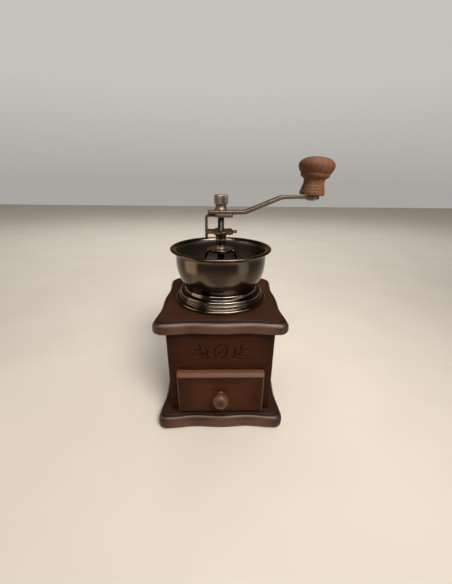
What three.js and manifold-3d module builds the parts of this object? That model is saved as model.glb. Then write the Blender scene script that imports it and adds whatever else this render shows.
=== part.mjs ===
// Box coffee mill with a hand crank: a wooden body with a drawer, an open metal hopper,
// a conical burr pair and a bent crank arm with a turned wooden knob.
// Millimetres, +Z up. The origin is the centre of the base plate's underside,
// the drawer faces -Y and the crank arm rests along +X.
import * as THREE from 'three';
import { mergeVertices } from 'three/addons/utils/BufferGeometryUtils.js';
import Module from 'manifold-3d';

const wasm = await Module();
wasm.setup();

// ------------------------------------------------------------------ driving dimensions
const BASE = { width: 120, z0: 0, z1: 14 };
const TOP = { width: 115, z0: 103, z1: 114.6 };
const PLATE = {
  cornerR: 8, midSetback: 1, dipSetback: 1.7, landInset: 4.6, landHeight: 1.2, noseBand: 0.6, underR: 3,
  sideSteps: 8, cornerSteps: 4,
};
const BOX = { width: 95.2, panel: 8 };

const DRAWER = {
  frontWidth: 80, frontZ0: 16.5, frontZ1: 61.7, frontThickness: 7.6, frontGap: 0.3,
  chamfer: 2.9, sideChamfer: 1.7,
  boxWidth: 73.4, z0: 18.6, z1: 58.6, wall: 5, floor: 3, backY: 34, backTop: 56,
  openingWidth: 74.4, openingZ0: 18.2, openingZ1: 60,
};
const RUNNER = { innerX: 26, top: 18.4, guideX: 37, guideTop: 28 };
const PULL = { z: 38.5, headR: 7.3, length: 12.5, boreR: 1.7, boreDepth: 8, screwR: 1.5 };

const RING = { topZ: 128.5, innerR: 31.3, lipR: 43.8 };
const BOWL = { wall: 1.3, holeR: 20, rimR: 46.8, rimZ: 165.1 };
const HOUSING = {
  flangeR: 38, flangeZ: 117.2, throatR: 31, mouthR: 22.5, boreR: 20,
  bodyR: 28, z0: 87, seatR: 23.6, seatZ: 104.2,
};
const OUTER_BURR = { z0: 87.2, z1: 104, r: 23.5, tipR: 18, rootR: 19.6 };
const INNER_BURR = {
  z0: 92, skirtZ: 98, grindZ: 101, z1: 118, tipR: 17.4, rootR: 16.2, neckR: 16, topR: 8, boreR: 3.6,
};
const BURR_TEETH = 24;
const FEED_LOBES = { count: 8, middle: 13.8, swing: 2.6 };
const SPIDER = { z0: 83, width: 9, bossR: 7.5, boreR: 3.65 };
const BURR_NUT = { acrossFlats: 12, z0: 88.4, z1: 91.9 };
const SPIDER_SCREW = { x: 25.8, headR: 2.2, shankR: 1.1, length: 9 };

const SHAFT = { z0: 79, shoulderZ: 159, z1: 207, lowerR: 3.5, upperR: 3 };
const BORE_R = 3.15;
const BRIDGE = {
  discR: 12, z1: 163.3, thickness: 2.2, rim: 0.2, strapWidth: 11, footR: 30.3, kneeR: 22.6, bendReach: 2.2,
};
const BUSHING = { flangeR: 4.5, z0: 158.5, flangeZ: 166, sleeveR: 4 };
const THRUST_WASHER = { r: 5, z0: 166.2, z1: 167.2 };
const SPACER = { r: 4.4, z0: 167.3, z1: 171.2 };
const STAR_WASHER = { r: 4.9, z0: 171.3, z1: 172.7 };
const STAR = {
  hubR: 4.8, hubZ: 172.8, flangeR: 6, flangeZ: 175.9,
  z0: 177.9, z1: 179.9, tipR: 14.8, notchR: 11, teeth: 7,
};
const LOCK = {
  z1: 194.5, thickness: 2.7, x0: -5, x1: 10.6, halfWidth: 6.2,
  tabThickness: 2.3, legX: -13.1, legZ: 172, legWidth: 4.4, tabBend: 2.4,
};

// The arm's middle line rises from the hub to a crown and then falls a little to its tip.
const ARM = {
  thickness: 2.8, width: 12, hubX: -11.5, hubZ: 196, bendX: 21.2, riseX: 52.6, riseZ: 208.75,
  crownX: 64.8, crownZ: 209.3, tipX: 85.8, tipFallDeg: 1.5, bendReach: 5, hubCorner: 2,
};
// The knob sits loose on its pin and leans a little more than the arm's tip.
const KNOB = { x: 78.9, tiltDeg: 3.5, sides: 26, boreR: 2.6, topZ: 30.5, recessR: 7.4, recessZ: 1.2 };
const PIN = { r: 2.4, topZ: 25.5, headR: 4.4, headHeight: 1.4, headGap: 0.25 };
const KNOB_WASHER = { r: 7, z0: 0.35, z1: 1.1 };
const NUT = { z0: 200.8, z1: 210.5, r: 6.3, neckR: 4.6, ridges: 26, ridgeDepth: 0.35, boreTop: 208.2 };
const COLLAR = { z0: 197.5, z1: 200.7, footR: 5.35, neckR: 4.6 };
const BORE_CLEARANCE = 0.2;

// Quality of round shapes: sides of a full turn.
const SIDES = { large: 32, medium: 20, small: 10 };

// ------------------------------------------------------------------ colours
const finish = {
  darkWood: { color: 0x4a2a1c, roughness: 0.3, metalness: 0 },
  boxWood: { color: 0x573019, roughness: 0.32, metalness: 0 },
  rawWood: { color: 0x9c7448, roughness: 0.75, metalness: 0 },
  knobWood: { color: 0x74503a, roughness: 0.55, metalness: 0 },
  blackNickel: { color: 0x3c3732, roughness: 0.22, metalness: 1 },
  pewter: { color: 0x756a60, roughness: 0.38, metalness: 1 },
  brightSteel: { color: 0xb4b0aa, roughness: 0.2, metalness: 1 },
  blackSteel: { color: 0x1b1a1a, roughness: 0.4, metalness: 1 },
  castIron: { color: 0x3a3a3b, roughness: 0.65, metalness: 0.9 },
};

// ------------------------------------------------------------------ solids and placing
function solidOf(geometry) {
  const bare = geometry.clone();
  bare.deleteAttribute('normal');
  bare.deleteAttribute('uv');
  const welded = mergeVertices(bare, 1e-4);
  return new wasm.Manifold(new wasm.Mesh({
    numProp: 3,
    vertProperties: welded.attributes.position.array,
    triVerts: new Uint32Array(welded.index.array),
  }));
}

function geometryOf(solid) {
  const mesh = solid.getMesh();
  const geometry = new THREE.BufferGeometry();
  geometry.setAttribute('position', new THREE.BufferAttribute(mesh.vertProperties, 3));
  geometry.setIndex(new THREE.BufferAttribute(mesh.triVerts, 1));
  geometry.computeVertexNormals();
  return geometry;
}

const join = (...parts) => geometryOf(parts.map(solidOf).reduce((a, b) => a.add(b)));
const cut = (body, ...tools) => geometryOf(tools.map(solidOf).reduce((a, b) => a.subtract(b), solidOf(body)));
const common = (a, b) => geometryOf(solidOf(a).intersect(solidOf(b)));

// A box given by its lowest and highest corners.
function block(x0, y0, z0, x1, y1, z1) {
  return new THREE.BoxGeometry(x1 - x0, y1 - y0, z1 - z0)
    .translate((x0 + x1) / 2, (y0 + y1) / 2, (z0 + z1) / 2);
}

// A round bar along Z at (x, y).
function bar(radius, z0, z1, x = 0, y = 0, sides = SIDES.medium) {
  return new THREE.CylinderGeometry(radius, radius, z1 - z0, sides)
    .rotateX(Math.PI / 2)
    .translate(x, y, (z0 + z1) / 2);
}

// A body turned about Z from [radius, height] pairs.
function turned(profile, sides) {
  const points = profile.map(([r, z]) => new THREE.Vector2(r, z));
  if (THREE.ShapeUtils.area(points) < 0) points.reverse();
  return new THREE.LatheGeometry(points, sides).rotateX(Math.PI / 2);
}

// A closed turned ring: the profile comes back to its first point.
const turnedRing = (profile, sides) => turned([...profile, profile[0]], sides);

// A plane outline pushed up along Z.
function prism(shape, z0, z1, curveSegments = 6) {
  return new THREE.ExtrudeGeometry(shape, { depth: z1 - z0, bevelEnabled: false, curveSegments })
    .translate(0, 0, z0);
}

// A plane outline with points from a polar formula.
function polarShape(radiusAt, count) {
  const points = [];
  for (let i = 0; i < count; i += 1) {
    const angle = (i / count) * 2 * Math.PI;
    const r = radiusAt(angle);
    points.push(new THREE.Vector2(r * Math.cos(angle), r * Math.sin(angle)));
  }
  return new THREE.Shape(points);
}

function toothedShape(teeth, tipR, rootR) {
  return polarShape((a) => (Math.round((a * teeth) / Math.PI) % 2 === 0 ? tipR : rootR), teeth * 2);
}

// A bent flat strip: a side outline in X and Z with soft bends, pushed to its width along Y.
function bentStrip(points, bendR, thickness, width) {
  const path = new THREE.Path();
  const corners = points.map(([x, z]) => new THREE.Vector2(x, z));
  path.moveTo(corners[0].x, corners[0].y);
  for (let i = 1; i < corners.length - 1; i += 1) {
    const before = corners[i].clone().lerp(corners[i - 1], bendR / corners[i].distanceTo(corners[i - 1]));
    const after = corners[i].clone().lerp(corners[i + 1], bendR / corners[i].distanceTo(corners[i + 1]));
    path.lineTo(before.x, before.y);
    path.quadraticCurveTo(corners[i].x, corners[i].y, after.x, after.y);
  }
  path.lineTo(corners.at(-1).x, corners.at(-1).y);
  const line = path.getPoints(4);
  const side = (sign) => line.map((point, i) => {
    const next = line[Math.min(i + 1, line.length - 1)];
    const last = line[Math.max(i - 1, 0)];
    const along = next.clone().sub(last).normalize();
    const out = sign * thickness / 2;
    return new THREE.Vector2(point.x - out * along.y, point.y + out * along.x);
  });
  const outline = new THREE.Shape([...side(-1), ...side(1).reverse()]);
  return new THREE.ExtrudeGeometry(outline, { depth: width, bevelEnabled: false })
    .rotateX(Math.PI / 2)
    .translate(0, width / 2, 0);
}

// A screw along -Z: its head stands on z = 0 and its shank goes down.
function screw(headR, headHeight, shankR, length, sides = SIDES.small) {
  const body = turned([
    [0, -length], [shankR, -length], [shankR, 0],
    [headR, 0], [headR, headHeight * 0.5], [headR * 0.7, headHeight], [0, headHeight],
  ], sides);
  const slot = block(-headR, -0.4, headHeight * 0.5, headR, 0.4, headHeight + 1);
  return cut(body, slot);
}

// A countersunk wood screw pointing up +Z, its flat head's face at z = 0.
function woodScrew(headR, shankR, length) {
  const body = turned([
    [0, 0], [headR, 0], [shankR, headR - shankR], [shankR, length - 3], [0, length],
  ], SIDES.small);
  const slot = block(-headR, -0.4, -1, headR, 0.4, 0.8);
  return cut(body, slot);
}

const mill = new THREE.Group();
function add(name, geometry, look, parent = mill) {
  const mesh = new THREE.Mesh(geometry, new THREE.MeshStandardMaterial(look));
  mesh.name = name;
  parent.add(mesh);
  return mesh;
}

// ------------------------------------------------------------------ base and top plates
// Square in plan with rounded corners. Each side is a shallow serpentine: along t from -1 to 1
// it dips in on both sides of a middle that swells out again a little.
function sideSetback(t) {
  const hollow = PLATE.midSetback * Math.cos(t * Math.PI / 2) ** 2;
  return hollow + PLATE.dipSetback * Math.sin(t * Math.PI) ** 2;
}

function plateOutline(width, inset) {
  const half = width / 2 - inset;
  const r = PLATE.cornerR - inset * 0.6;
  const straight = half - r;
  const points = [];
  for (let side = 0; side < 4; side += 1) {
    const push = (x, y) => {
      points.push(new THREE.Vector2(x, y).rotateAround(new THREE.Vector2(), side * Math.PI / 2));
    };
    for (let i = 0; i < PLATE.sideSteps; i += 1) {
      const t = (2 * i) / PLATE.sideSteps - 1;
      push(half - sideSetback(t), t * straight);
    }
    for (let i = 0; i < PLATE.cornerSteps; i += 1) {
      const angle = (i / PLATE.cornerSteps) * Math.PI / 2;
      push(straight + r * Math.cos(angle), straight + r * Math.sin(angle));
    }
  }
  return new THREE.Shape(points);
}

// A moulded plate: a flat land on top, a small step down, a broad nose and a soft lower edge.
function mouldedPlate({ width, z0, z1 }) {
  const outline = plateOutline(width, 0);
  const slab = z1 - PLATE.landHeight - z0;
  const noseRise = (slab - PLATE.noseBand) / 2;
  const nose = new THREE.ExtrudeGeometry(outline, {
    depth: PLATE.noseBand, bevelThickness: noseRise, bevelSize: PLATE.landInset,
    bevelOffset: -PLATE.landInset, bevelSegments: 3,
  }).translate(0, 0, z0 + noseRise);
  const lower = new THREE.ExtrudeGeometry(outline, {
    depth: noseRise + PLATE.noseBand / 2 - PLATE.underR, bevelThickness: PLATE.underR,
    bevelSize: PLATE.underR, bevelOffset: -PLATE.underR, bevelSegments: 2,
  }).translate(0, 0, z0 + PLATE.underR);
  const land = prism(plateOutline(width, PLATE.landInset), z0 + noseRise, z1);
  return join(nose, lower, land);
}

const BASE_SCREW = { reach: 40, headR: 3.6, shankR: 1.8, length: 26, sink: 0.4 };
const baseScrewPlaces = [[1, 1], [-1, 1], [-1, -1], [1, -1]]
  .map(([sx, sy]) => [sx * (BOX.width - BOX.panel) / 2, sy * BASE_SCREW.reach]);

function screwPocket(x, y) {
  const grown = BASE_SCREW.headR + BORE_CLEARANCE;
  const shank = BASE_SCREW.shankR + BORE_CLEARANCE;
  return turned([
    [0, -1], [grown, -1], [grown, BASE_SCREW.sink], [shank, BASE_SCREW.sink + grown - shank],
    [shank, BASE_SCREW.sink + BASE_SCREW.length + 1], [0, BASE_SCREW.sink + BASE_SCREW.length + 1],
  ], SIDES.small).translate(x, y, 0);
}
const screwPockets = baseScrewPlaces.map(([x, y]) => screwPocket(x, y));

add('base_plate', cut(mouldedPlate(BASE), ...screwPockets), finish.darkWood);
baseScrewPlaces.forEach(([x, y], i) => {
  const place = woodScrew(BASE_SCREW.headR, BASE_SCREW.shankR, BASE_SCREW.length);
  add(`base_screw_${i + 1}`, place.translate(x, y, BASE_SCREW.sink), finish.brightSteel);
});

const HOUSING_SCREW = { ringR: 34.3, headR: 2.6, headHeight: 1.8, shankR: 1.5, length: 10 };
const housingScrewPlaces = [90, 210, 330].map((deg) => {
  const angle = THREE.MathUtils.degToRad(deg);
  return [HOUSING_SCREW.ringR * Math.cos(angle), HOUSING_SCREW.ringR * Math.sin(angle)];
});
const housingScrewHoles = housingScrewPlaces.map(([x, y]) => bar(
  HOUSING_SCREW.shankR + BORE_CLEARANCE,
  HOUSING.flangeZ - HOUSING_SCREW.length - 1, HOUSING.flangeZ + 1, x, y, SIDES.small,
));

const housingHole = bar(HOUSING.bodyR + 0.4, TOP.z0 - 1, TOP.z1 + 1, 0, 0, SIDES.large);
add('top_plate', cut(mouldedPlate(TOP), housingHole, ...housingScrewHoles), finish.darkWood);

// ------------------------------------------------------------------ box panels
const half = BOX.width / 2;
const inner = half - BOX.panel;

// The carved ornament on the front: a coffee bean between two leafy sprigs, all in narrow cuts.
const ORNAMENT = {
  z: 81, depth: 0.9, beanWide: 5.6, beanTall: 7.6, beanTiltDeg: -18, beanLine: 1.4,
  seamWave: 1.5, seamReach: 6.2, stemWidth: 1, leafWidth: 2.2, strokeSteps: 8, curveSteps: 12,
};
const STEM = [[7.5, -5.2], [14, -3.4], [20.5, 2.4], [22.6, 6.2]];
const LEAVES = [
  [[9.6, -5.1], [13, -7.6], [17.8, -8.4]],
  [[12.6, -4.1], [12.4, 0.4], [14.6, 5]],
  [[15.6, -2.3], [19.6, -4.6], [24.6, -4.2]],
  [[18.6, 0.2], [18.2, 4.4], [19.6, 8.6]],
  [[20.6, 2.5], [23.6, 1.4], [27, 2.6]],
];

// A cut with two pointed ends that is widest half-way along a line of [x, z] points.
function strokeShape(points, width) {
  const line = new THREE.SplineCurve(points.map(([x, z]) => new THREE.Vector2(x, z)));
  const edge = (step, side) => {
    const t = step / ORNAMENT.strokeSteps;
    const out = side * (width / 2) * Math.sin(Math.PI * t);
    const tangent = line.getTangent(t);
    return line.getPoint(t).add(new THREE.Vector2(-out * tangent.y, out * tangent.x));
  };
  const steps = Array.from({ length: ORNAMENT.strokeSteps + 1 }, (_, step) => step);
  return new THREE.Shape([
    ...steps.map((step) => edge(step, 1)),
    ...steps.slice(1, -1).reverse().map((step) => edge(step, -1)),
  ]);
}

const beanTilt = THREE.MathUtils.degToRad(ORNAMENT.beanTiltDeg);
function beanOutline() {
  const ring = (Kind, grow) => new Kind().absellipse(
    0, 0, ORNAMENT.beanWide + grow, ORNAMENT.beanTall + grow, 0, 2 * Math.PI, false, beanTilt,
  );
  const shape = ring(THREE.Shape, ORNAMENT.beanLine / 2);
  shape.holes.push(ring(THREE.Path, -ORNAMENT.beanLine / 2));
  return shape;
}

const seamLine = [-1, -0.5, 0, 0.5, 1].map((t) => new THREE.Vector2(
  ORNAMENT.seamWave * Math.sin(Math.PI * t),
  ORNAMENT.seamReach * t,
).rotateAround(new THREE.Vector2(), beanTilt).toArray());

function carving(shape) {
  const options = { depth: 2 * ORNAMENT.depth, bevelEnabled: false, curveSegments: ORNAMENT.curveSteps };
  return new THREE.ExtrudeGeometry(shape, options)
    .rotateX(Math.PI / 2)
    .translate(0, -half + ORNAMENT.depth, ORNAMENT.z);
}

const mirrored = (points) => points.map(([x, z]) => [-x, z]);
const sprigCuts = [
  ...[STEM, mirrored(STEM)].map((line) => carving(strokeShape(line, ORNAMENT.stemWidth))),
  ...[...LEAVES, ...LEAVES.map(mirrored)].map((line) => carving(strokeShape(line, ORNAMENT.leafWidth))),
];
const drawerOpening = block(
  -DRAWER.openingWidth / 2, -half - 1, DRAWER.openingZ0,
  DRAWER.openingWidth / 2, -inner + 1, DRAWER.openingZ1,
);
add('box_front_panel', cut(
  block(-half, -half, BASE.z1, half, -inner, TOP.z0),
  drawerOpening, carving(beanOutline()), carving(strokeShape(seamLine, ORNAMENT.beanLine)),
  ...sprigCuts, ...screwPockets,
), finish.boxWood);
add('box_back_panel', cut(
  block(-half, inner, BASE.z1, half, half, TOP.z0),
  ...screwPockets,
), finish.boxWood);
for (const [name, side] of [['box_left_panel', -1], ['box_right_panel', 1]]) {
  const panel = block(inner, -inner, BASE.z1, half, inner, TOP.z0);
  if (side < 0) panel.rotateZ(Math.PI);
  add(name, cut(panel, ...screwPockets), finish.boxWood);
}

// Two rails carry the drawer; each has a low upright guide against the side panel.
for (const [name, side] of [['drawer_rail_left', -1], ['drawer_rail_right', 1]]) {
  const section = new THREE.Shape([
    new THREE.Vector2(RUNNER.innerX, BASE.z1),
    new THREE.Vector2(inner, BASE.z1),
    new THREE.Vector2(inner, RUNNER.guideTop),
    new THREE.Vector2(RUNNER.guideX, RUNNER.guideTop),
    new THREE.Vector2(RUNNER.guideX, RUNNER.top),
    new THREE.Vector2(RUNNER.innerX, RUNNER.top),
  ]);
  const rail = new THREE.ExtrudeGeometry(section, { depth: 2 * inner, bevelEnabled: false })
    .rotateX(Math.PI / 2)
    .translate(0, inner, 0);
  if (side < 0) rail.rotateZ(Math.PI);
  add(name, cut(rail, ...screwPockets), finish.rawWood);
}

// ------------------------------------------------------------------ drawer
const frontBack = -half - DRAWER.frontGap;
const frontFace = frontBack - DRAWER.frontThickness;
const drawerHalf = DRAWER.boxWidth / 2;
const drawerInner = drawerHalf - DRAWER.wall;

function pullHole(radius, y0, y1) {
  return bar(radius, 0, y1 - y0, 0, 0, SIDES.small)
    .rotateX(-Math.PI / 2)
    .translate(0, y0, PULL.z);
}

// The drawer's front is a board with a chamfered face edge, narrower at its two sides.
function drawerFront() {
  const w = DRAWER.frontWidth / 2;
  const edge = DRAWER.chamfer;
  const outer = w + edge - DRAWER.sideChamfer;
  const rect = new THREE.Shape([
    new THREE.Vector2(-outer, DRAWER.frontZ0), new THREE.Vector2(outer, DRAWER.frontZ0),
    new THREE.Vector2(outer, DRAWER.frontZ1), new THREE.Vector2(-outer, DRAWER.frontZ1),
  ]);
  const chamfered = new THREE.ExtrudeGeometry(rect, {
    depth: DRAWER.frontThickness, bevelThickness: edge, bevelSize: edge, bevelOffset: -edge,
    bevelSegments: 1,
  }).rotateX(Math.PI / 2).translate(0, frontBack + edge, 0);
  const board = block(-w, frontFace, DRAWER.frontZ0, w, frontBack, DRAWER.frontZ1);
  return cut(common(chamfered, board), pullHole(PULL.boreR, frontFace - 1, frontBack + 1));
}
add('drawer_front', drawerFront(), finish.boxWood);
add('drawer_side_left', block(
  -drawerHalf, frontBack, DRAWER.z0,
  -drawerInner, DRAWER.backY, DRAWER.z1,
), finish.rawWood);
add('drawer_side_right', block(
  drawerInner, frontBack, DRAWER.z0,
  drawerHalf, DRAWER.backY, DRAWER.z1,
), finish.rawWood);
add('drawer_back', block(
  -drawerInner, DRAWER.backY - DRAWER.wall, DRAWER.z0,
  drawerInner, DRAWER.backY, DRAWER.backTop,
), finish.rawWood);
add('drawer_bottom', block(
  -drawerInner, frontBack, DRAWER.z0,
  drawerInner, DRAWER.backY - DRAWER.wall, DRAWER.z0 + DRAWER.floor,
), finish.rawWood);

// The mushroom pull, turned about an axis along -Y, screwed from inside the drawer.
const pullBody = turned([
  [0, 0], [4.6, 0], [4.8, 0.8], [4.1, 1.6], [4.2, 2.3], [5.9, 3.6], [6.9, 4.9],
  [PULL.headR, 6.7], [7.15, 8.5], [6.4, 10.2], [4.7, 11.6], [2.8, PULL.length - 0.2], [0, PULL.length],
], SIDES.medium).rotateX(Math.PI / 2).translate(0, frontFace, PULL.z);
const pullBore = pullHole(PULL.boreR, frontFace - PULL.boreDepth, frontFace + 1);
add('drawer_pull', cut(pullBody, pullBore), finish.knobWood);
add('drawer_pull_screw', screw(3, 1.6, PULL.screwR, DRAWER.frontThickness + PULL.boreDepth - 1)
  .rotateX(-Math.PI / 2).translate(0, frontBack, PULL.z), finish.brightSteel);

// ------------------------------------------------------------------ step ring and hopper bowl
// Three rolled terraces climb from the foot, whose lip overhangs, to the bowl's seat.
add('step_ring', turnedRing([
  [41.1, TOP.z1], [42.5, TOP.z1], [42.6, 115.7], [RING.lipR, 116.1], [RING.lipR, 117.2],
  [43.1, 118.1], [40.6, 118.8],
  [40.5, 121], [39.9, 121.7], [39.4, 121.9], [39.3, 123.9], [38.7, 124.6], [35.3, 125.2],
  [34.6, 127.8], [33.9, RING.topZ], [RING.innerR, RING.topZ], [RING.innerR, 127],
  [32.8, 127], [33.8, 123.9], [37.6, 123], [38.2, 120.2], [38.9, 117.4], [41.1, 117],
], SIDES.large), finish.blackNickel);

const BRIDGE_SCREW = { x: 27.2, headR: 2.3, headHeight: 1.8, shankR: 1.3, length: 11 };
const bowlFloorTop = RING.topZ + BOWL.wall;
const bridgeFootTop = bowlFloorTop + BRIDGE.thickness;
const bridgeScrewHoles = [-1, 1].map((side) => bar(
  BRIDGE_SCREW.shankR + BORE_CLEARANCE,
  bridgeFootTop - BRIDGE_SCREW.length - 1, bridgeFootTop + 1, side * BRIDGE_SCREW.x, 0, SIDES.small,
));

add('hopper_bowl', cut(turnedRing([
  [BOWL.holeR, RING.topZ], [31, RING.topZ], [33.4, 129.1], [35.2, 130.3], [38.1, 135.5], [40.4, 141.6],
  [41.6, 146.6], [41.9, 153.8], [41.6, 160], [42.4, 162.4], [44.4, 163.2], [46.2, 163.3],
  [BOWL.rimR, 164.2], [46.2, BOWL.rimZ], [43.4, BOWL.rimZ], [41.9, 164.4], [40.8, 162.8],
  [40.3, 160], [40.6, 153.8], [40.3, 147], [39.1, 142], [36.9, 136.2], [34.2, 131.4],
  [30.8, bowlFloorTop], [BOWL.holeR, bowlFloorTop],
], SIDES.large), ...bridgeScrewHoles), finish.blackNickel);

// ------------------------------------------------------------------ burr housing and burrs
add('burr_housing', cut(turnedRing([
  [HOUSING.seatR, HOUSING.z0], [HOUSING.bodyR, HOUSING.z0], [HOUSING.bodyR, TOP.z1],
  [HOUSING.flangeR, TOP.z1], [HOUSING.flangeR, HOUSING.flangeZ], [HOUSING.throatR, HOUSING.flangeZ],
  [HOUSING.throatR, RING.topZ], [HOUSING.mouthR, RING.topZ], [HOUSING.boreR, 118],
  [HOUSING.boreR, HOUSING.seatZ], [HOUSING.seatR, HOUSING.seatZ],
], SIDES.large), ...housingScrewHoles, ...bridgeScrewHoles, ...spiderScrewHoles()), finish.castIron);
housingScrewPlaces.forEach(([x, y], i) => {
  const { headR, headHeight, shankR, length } = HOUSING_SCREW;
  const place = screw(headR, headHeight, shankR, length).translate(x, y, HOUSING.flangeZ);
  add(`housing_screw_${i + 1}`, place, finish.brightSteel);
});

add('outer_burr', cut(
  bar(OUTER_BURR.r, OUTER_BURR.z0, OUTER_BURR.z1, 0, 0, SIDES.large),
  prism(toothedShape(BURR_TEETH, OUTER_BURR.rootR, OUTER_BURR.tipR), OUTER_BURR.z0 - 1, OUTER_BURR.z1 + 1),
), finish.castIron);

// The lower bearing bar crosses the housing's mouth under the burrs.
function spiderScrewHoles() {
  const radius = SPIDER_SCREW.shankR + BORE_CLEARANCE;
  return [-1, 1].map((side) => bar(
    radius, SPIDER.z0 - 1, SPIDER.z0 + SPIDER_SCREW.length + 1, side * SPIDER_SCREW.x, 0, SIDES.small,
  ));
}
const lowerBar = common(
  block(-HOUSING.bodyR, -SPIDER.width / 2, SPIDER.z0, HOUSING.bodyR, SPIDER.width / 2, HOUSING.z0),
  bar(HOUSING.bodyR, SPIDER.z0 - 1, HOUSING.z0 + 1, 0, 0, SIDES.large),
);
const lowerBoss = bar(SPIDER.bossR, SPIDER.z0, HOUSING.z0);
const lowerBore = bar(SPIDER.boreR, SPIDER.z0 - 1, HOUSING.z0 + 1);
add('lower_spider', cut(join(lowerBar, lowerBoss), lowerBore, ...spiderScrewHoles()), finish.castIron);
for (const [name, side] of [['spider_screw_left', -1], ['spider_screw_right', 1]]) {
  const piece = screw(SPIDER_SCREW.headR, 1.6, SPIDER_SCREW.shankR, SPIDER_SCREW.length);
  piece.rotateX(Math.PI).translate(side * SPIDER_SCREW.x, 0, SPIDER.z0);
  add(name, piece, finish.brightSteel);
}

// The inner burr: fine grinding teeth below, broad feed lobes above, cut from one cone.
function innerBurr() {
  const cone = turned([
    [0, INNER_BURR.z0], [INNER_BURR.tipR, INNER_BURR.z0], [INNER_BURR.tipR, INNER_BURR.skirtZ],
    [INNER_BURR.neckR, INNER_BURR.grindZ], [INNER_BURR.topR, INNER_BURR.z1], [0, INNER_BURR.z1],
  ], SIDES.large);
  const teeth = prism(
    toothedShape(BURR_TEETH, INNER_BURR.tipR + 1, INNER_BURR.rootR),
    INNER_BURR.z0, INNER_BURR.grindZ,
  );
  const lobes = prism(
    polarShape(
      (a) => FEED_LOBES.middle + FEED_LOBES.swing * Math.cos(FEED_LOBES.count * a),
      FEED_LOBES.count * 6,
    ),
    INNER_BURR.grindZ - 1, INNER_BURR.z1,
  );
  const core = bar(INNER_BURR.topR, INNER_BURR.z0, INNER_BURR.z1);
  const bore = bar(INNER_BURR.boreR, INNER_BURR.z0 - 1, INNER_BURR.z1 + 1);
  return cut(common(cone, join(teeth, lobes, core)), bore);
}
add('inner_burr', innerBurr(), finish.castIron);

function hexNut({ acrossFlats, z0, z1 }) {
  const hexagon = bar(acrossFlats / Math.sqrt(3), z0, z1, 0, 0, 6);
  return cut(hexagon, bar(INNER_BURR.boreR, z0 - 1, z1 + 1));
}
add('burr_nut', hexNut(BURR_NUT), finish.blackSteel);

// ------------------------------------------------------------------ shaft, bridge and bushing
add('shaft', turned([
  [0, SHAFT.z0], [SHAFT.lowerR - 0.8, SHAFT.z0], [SHAFT.lowerR, SHAFT.z0 + 0.8],
  [SHAFT.lowerR, SHAFT.shoulderZ - 1.5], [SHAFT.upperR, SHAFT.shoulderZ - 1],
  [SHAFT.upperR, SHAFT.z1 - 0.8], [SHAFT.upperR - 0.8, SHAFT.z1], [0, SHAFT.z1],
], SIDES.medium), finish.blackSteel);

// The bridge: a round seat with a strap leg down to the bowl's floor on each side.
function bridge() {
  const mid = BRIDGE.thickness / 2;
  const crown = BRIDGE.z1 - BRIDGE.rim - mid;
  const floor = bowlFloorTop + mid;
  const strap = bentStrip([
    [-BRIDGE.footR, floor], [-BRIDGE.kneeR, floor], [-BRIDGE.discR, crown],
    [BRIDGE.discR, crown], [BRIDGE.kneeR, floor], [BRIDGE.footR, floor],
  ], BRIDGE.bendReach, BRIDGE.thickness, BRIDGE.strapWidth);
  const disc = bar(BRIDGE.discR, BRIDGE.z1 - BRIDGE.thickness - BRIDGE.rim, BRIDGE.z1);
  const bore = bar(BUSHING.sleeveR + BORE_CLEARANCE, BRIDGE.z1 - BRIDGE.thickness - 1, BRIDGE.z1 + 1);
  return cut(join(strap, disc), bore, ...bridgeScrewHoles);
}
add('bridge', bridge(), finish.blackNickel);
for (const [name, side] of [['bridge_screw_left', -1], ['bridge_screw_right', 1]]) {
  const piece = screw(BRIDGE_SCREW.headR, BRIDGE_SCREW.headHeight, BRIDGE_SCREW.shankR, BRIDGE_SCREW.length);
  add(name, piece.translate(side * BRIDGE_SCREW.x, 0, bridgeFootTop), finish.brightSteel);
}

add('bridge_bushing', turnedRing([
  [BORE_R, BUSHING.z0], [BUSHING.sleeveR, BUSHING.z0], [BUSHING.sleeveR, BRIDGE.z1],
  [BUSHING.flangeR, BRIDGE.z1], [BUSHING.flangeR, BUSHING.flangeZ - 0.5],
  [BUSHING.flangeR - 0.5, BUSHING.flangeZ], [BORE_R, BUSHING.flangeZ],
], SIDES.medium), finish.brightSteel);

// ------------------------------------------------------------------ grind adjuster on the shaft
function washer({ r, z0, z1 }) {
  const edge = Math.min(0.3, (z1 - z0) / 3);
  return turnedRing([
    [BORE_R, z0], [r - edge, z0], [r, z0 + edge], [r, z1 - edge], [r - edge, z1], [BORE_R, z1],
  ], SIDES.medium);
}
add('thrust_washer', washer(THRUST_WASHER), finish.pewter);
add('spacer_collar', washer(SPACER), finish.blackSteel);
add('star_washer', washer(STAR_WASHER), finish.brightSteel);

// Seven rounded teeth; a tooth points along the arm and a notch lies opposite, under the lock leg.
function starWheel() {
  const middle = (STAR.tipR + STAR.notchR) / 2;
  const swing = (STAR.tipR - STAR.notchR) / 2;
  const steepness = 2;
  const outline = polarShape((a) => {
    const wave = Math.tanh(steepness * Math.cos(STAR.teeth * a)) / Math.tanh(steepness);
    return middle + swing * wave;
  }, STAR.teeth * 8);
  const disc = prism(outline, STAR.z0, STAR.z1);
  const hub = bar(STAR.hubR, STAR.hubZ, STAR.z0 + 1);
  const flange = bar(STAR.flangeR, STAR.flangeZ, STAR.z0 + 1);
  return cut(join(disc, flange, hub), bar(BORE_R, STAR.hubZ - 1, STAR.z1 + 1));
}
add('star_wheel', starWheel(), finish.pewter);

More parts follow.
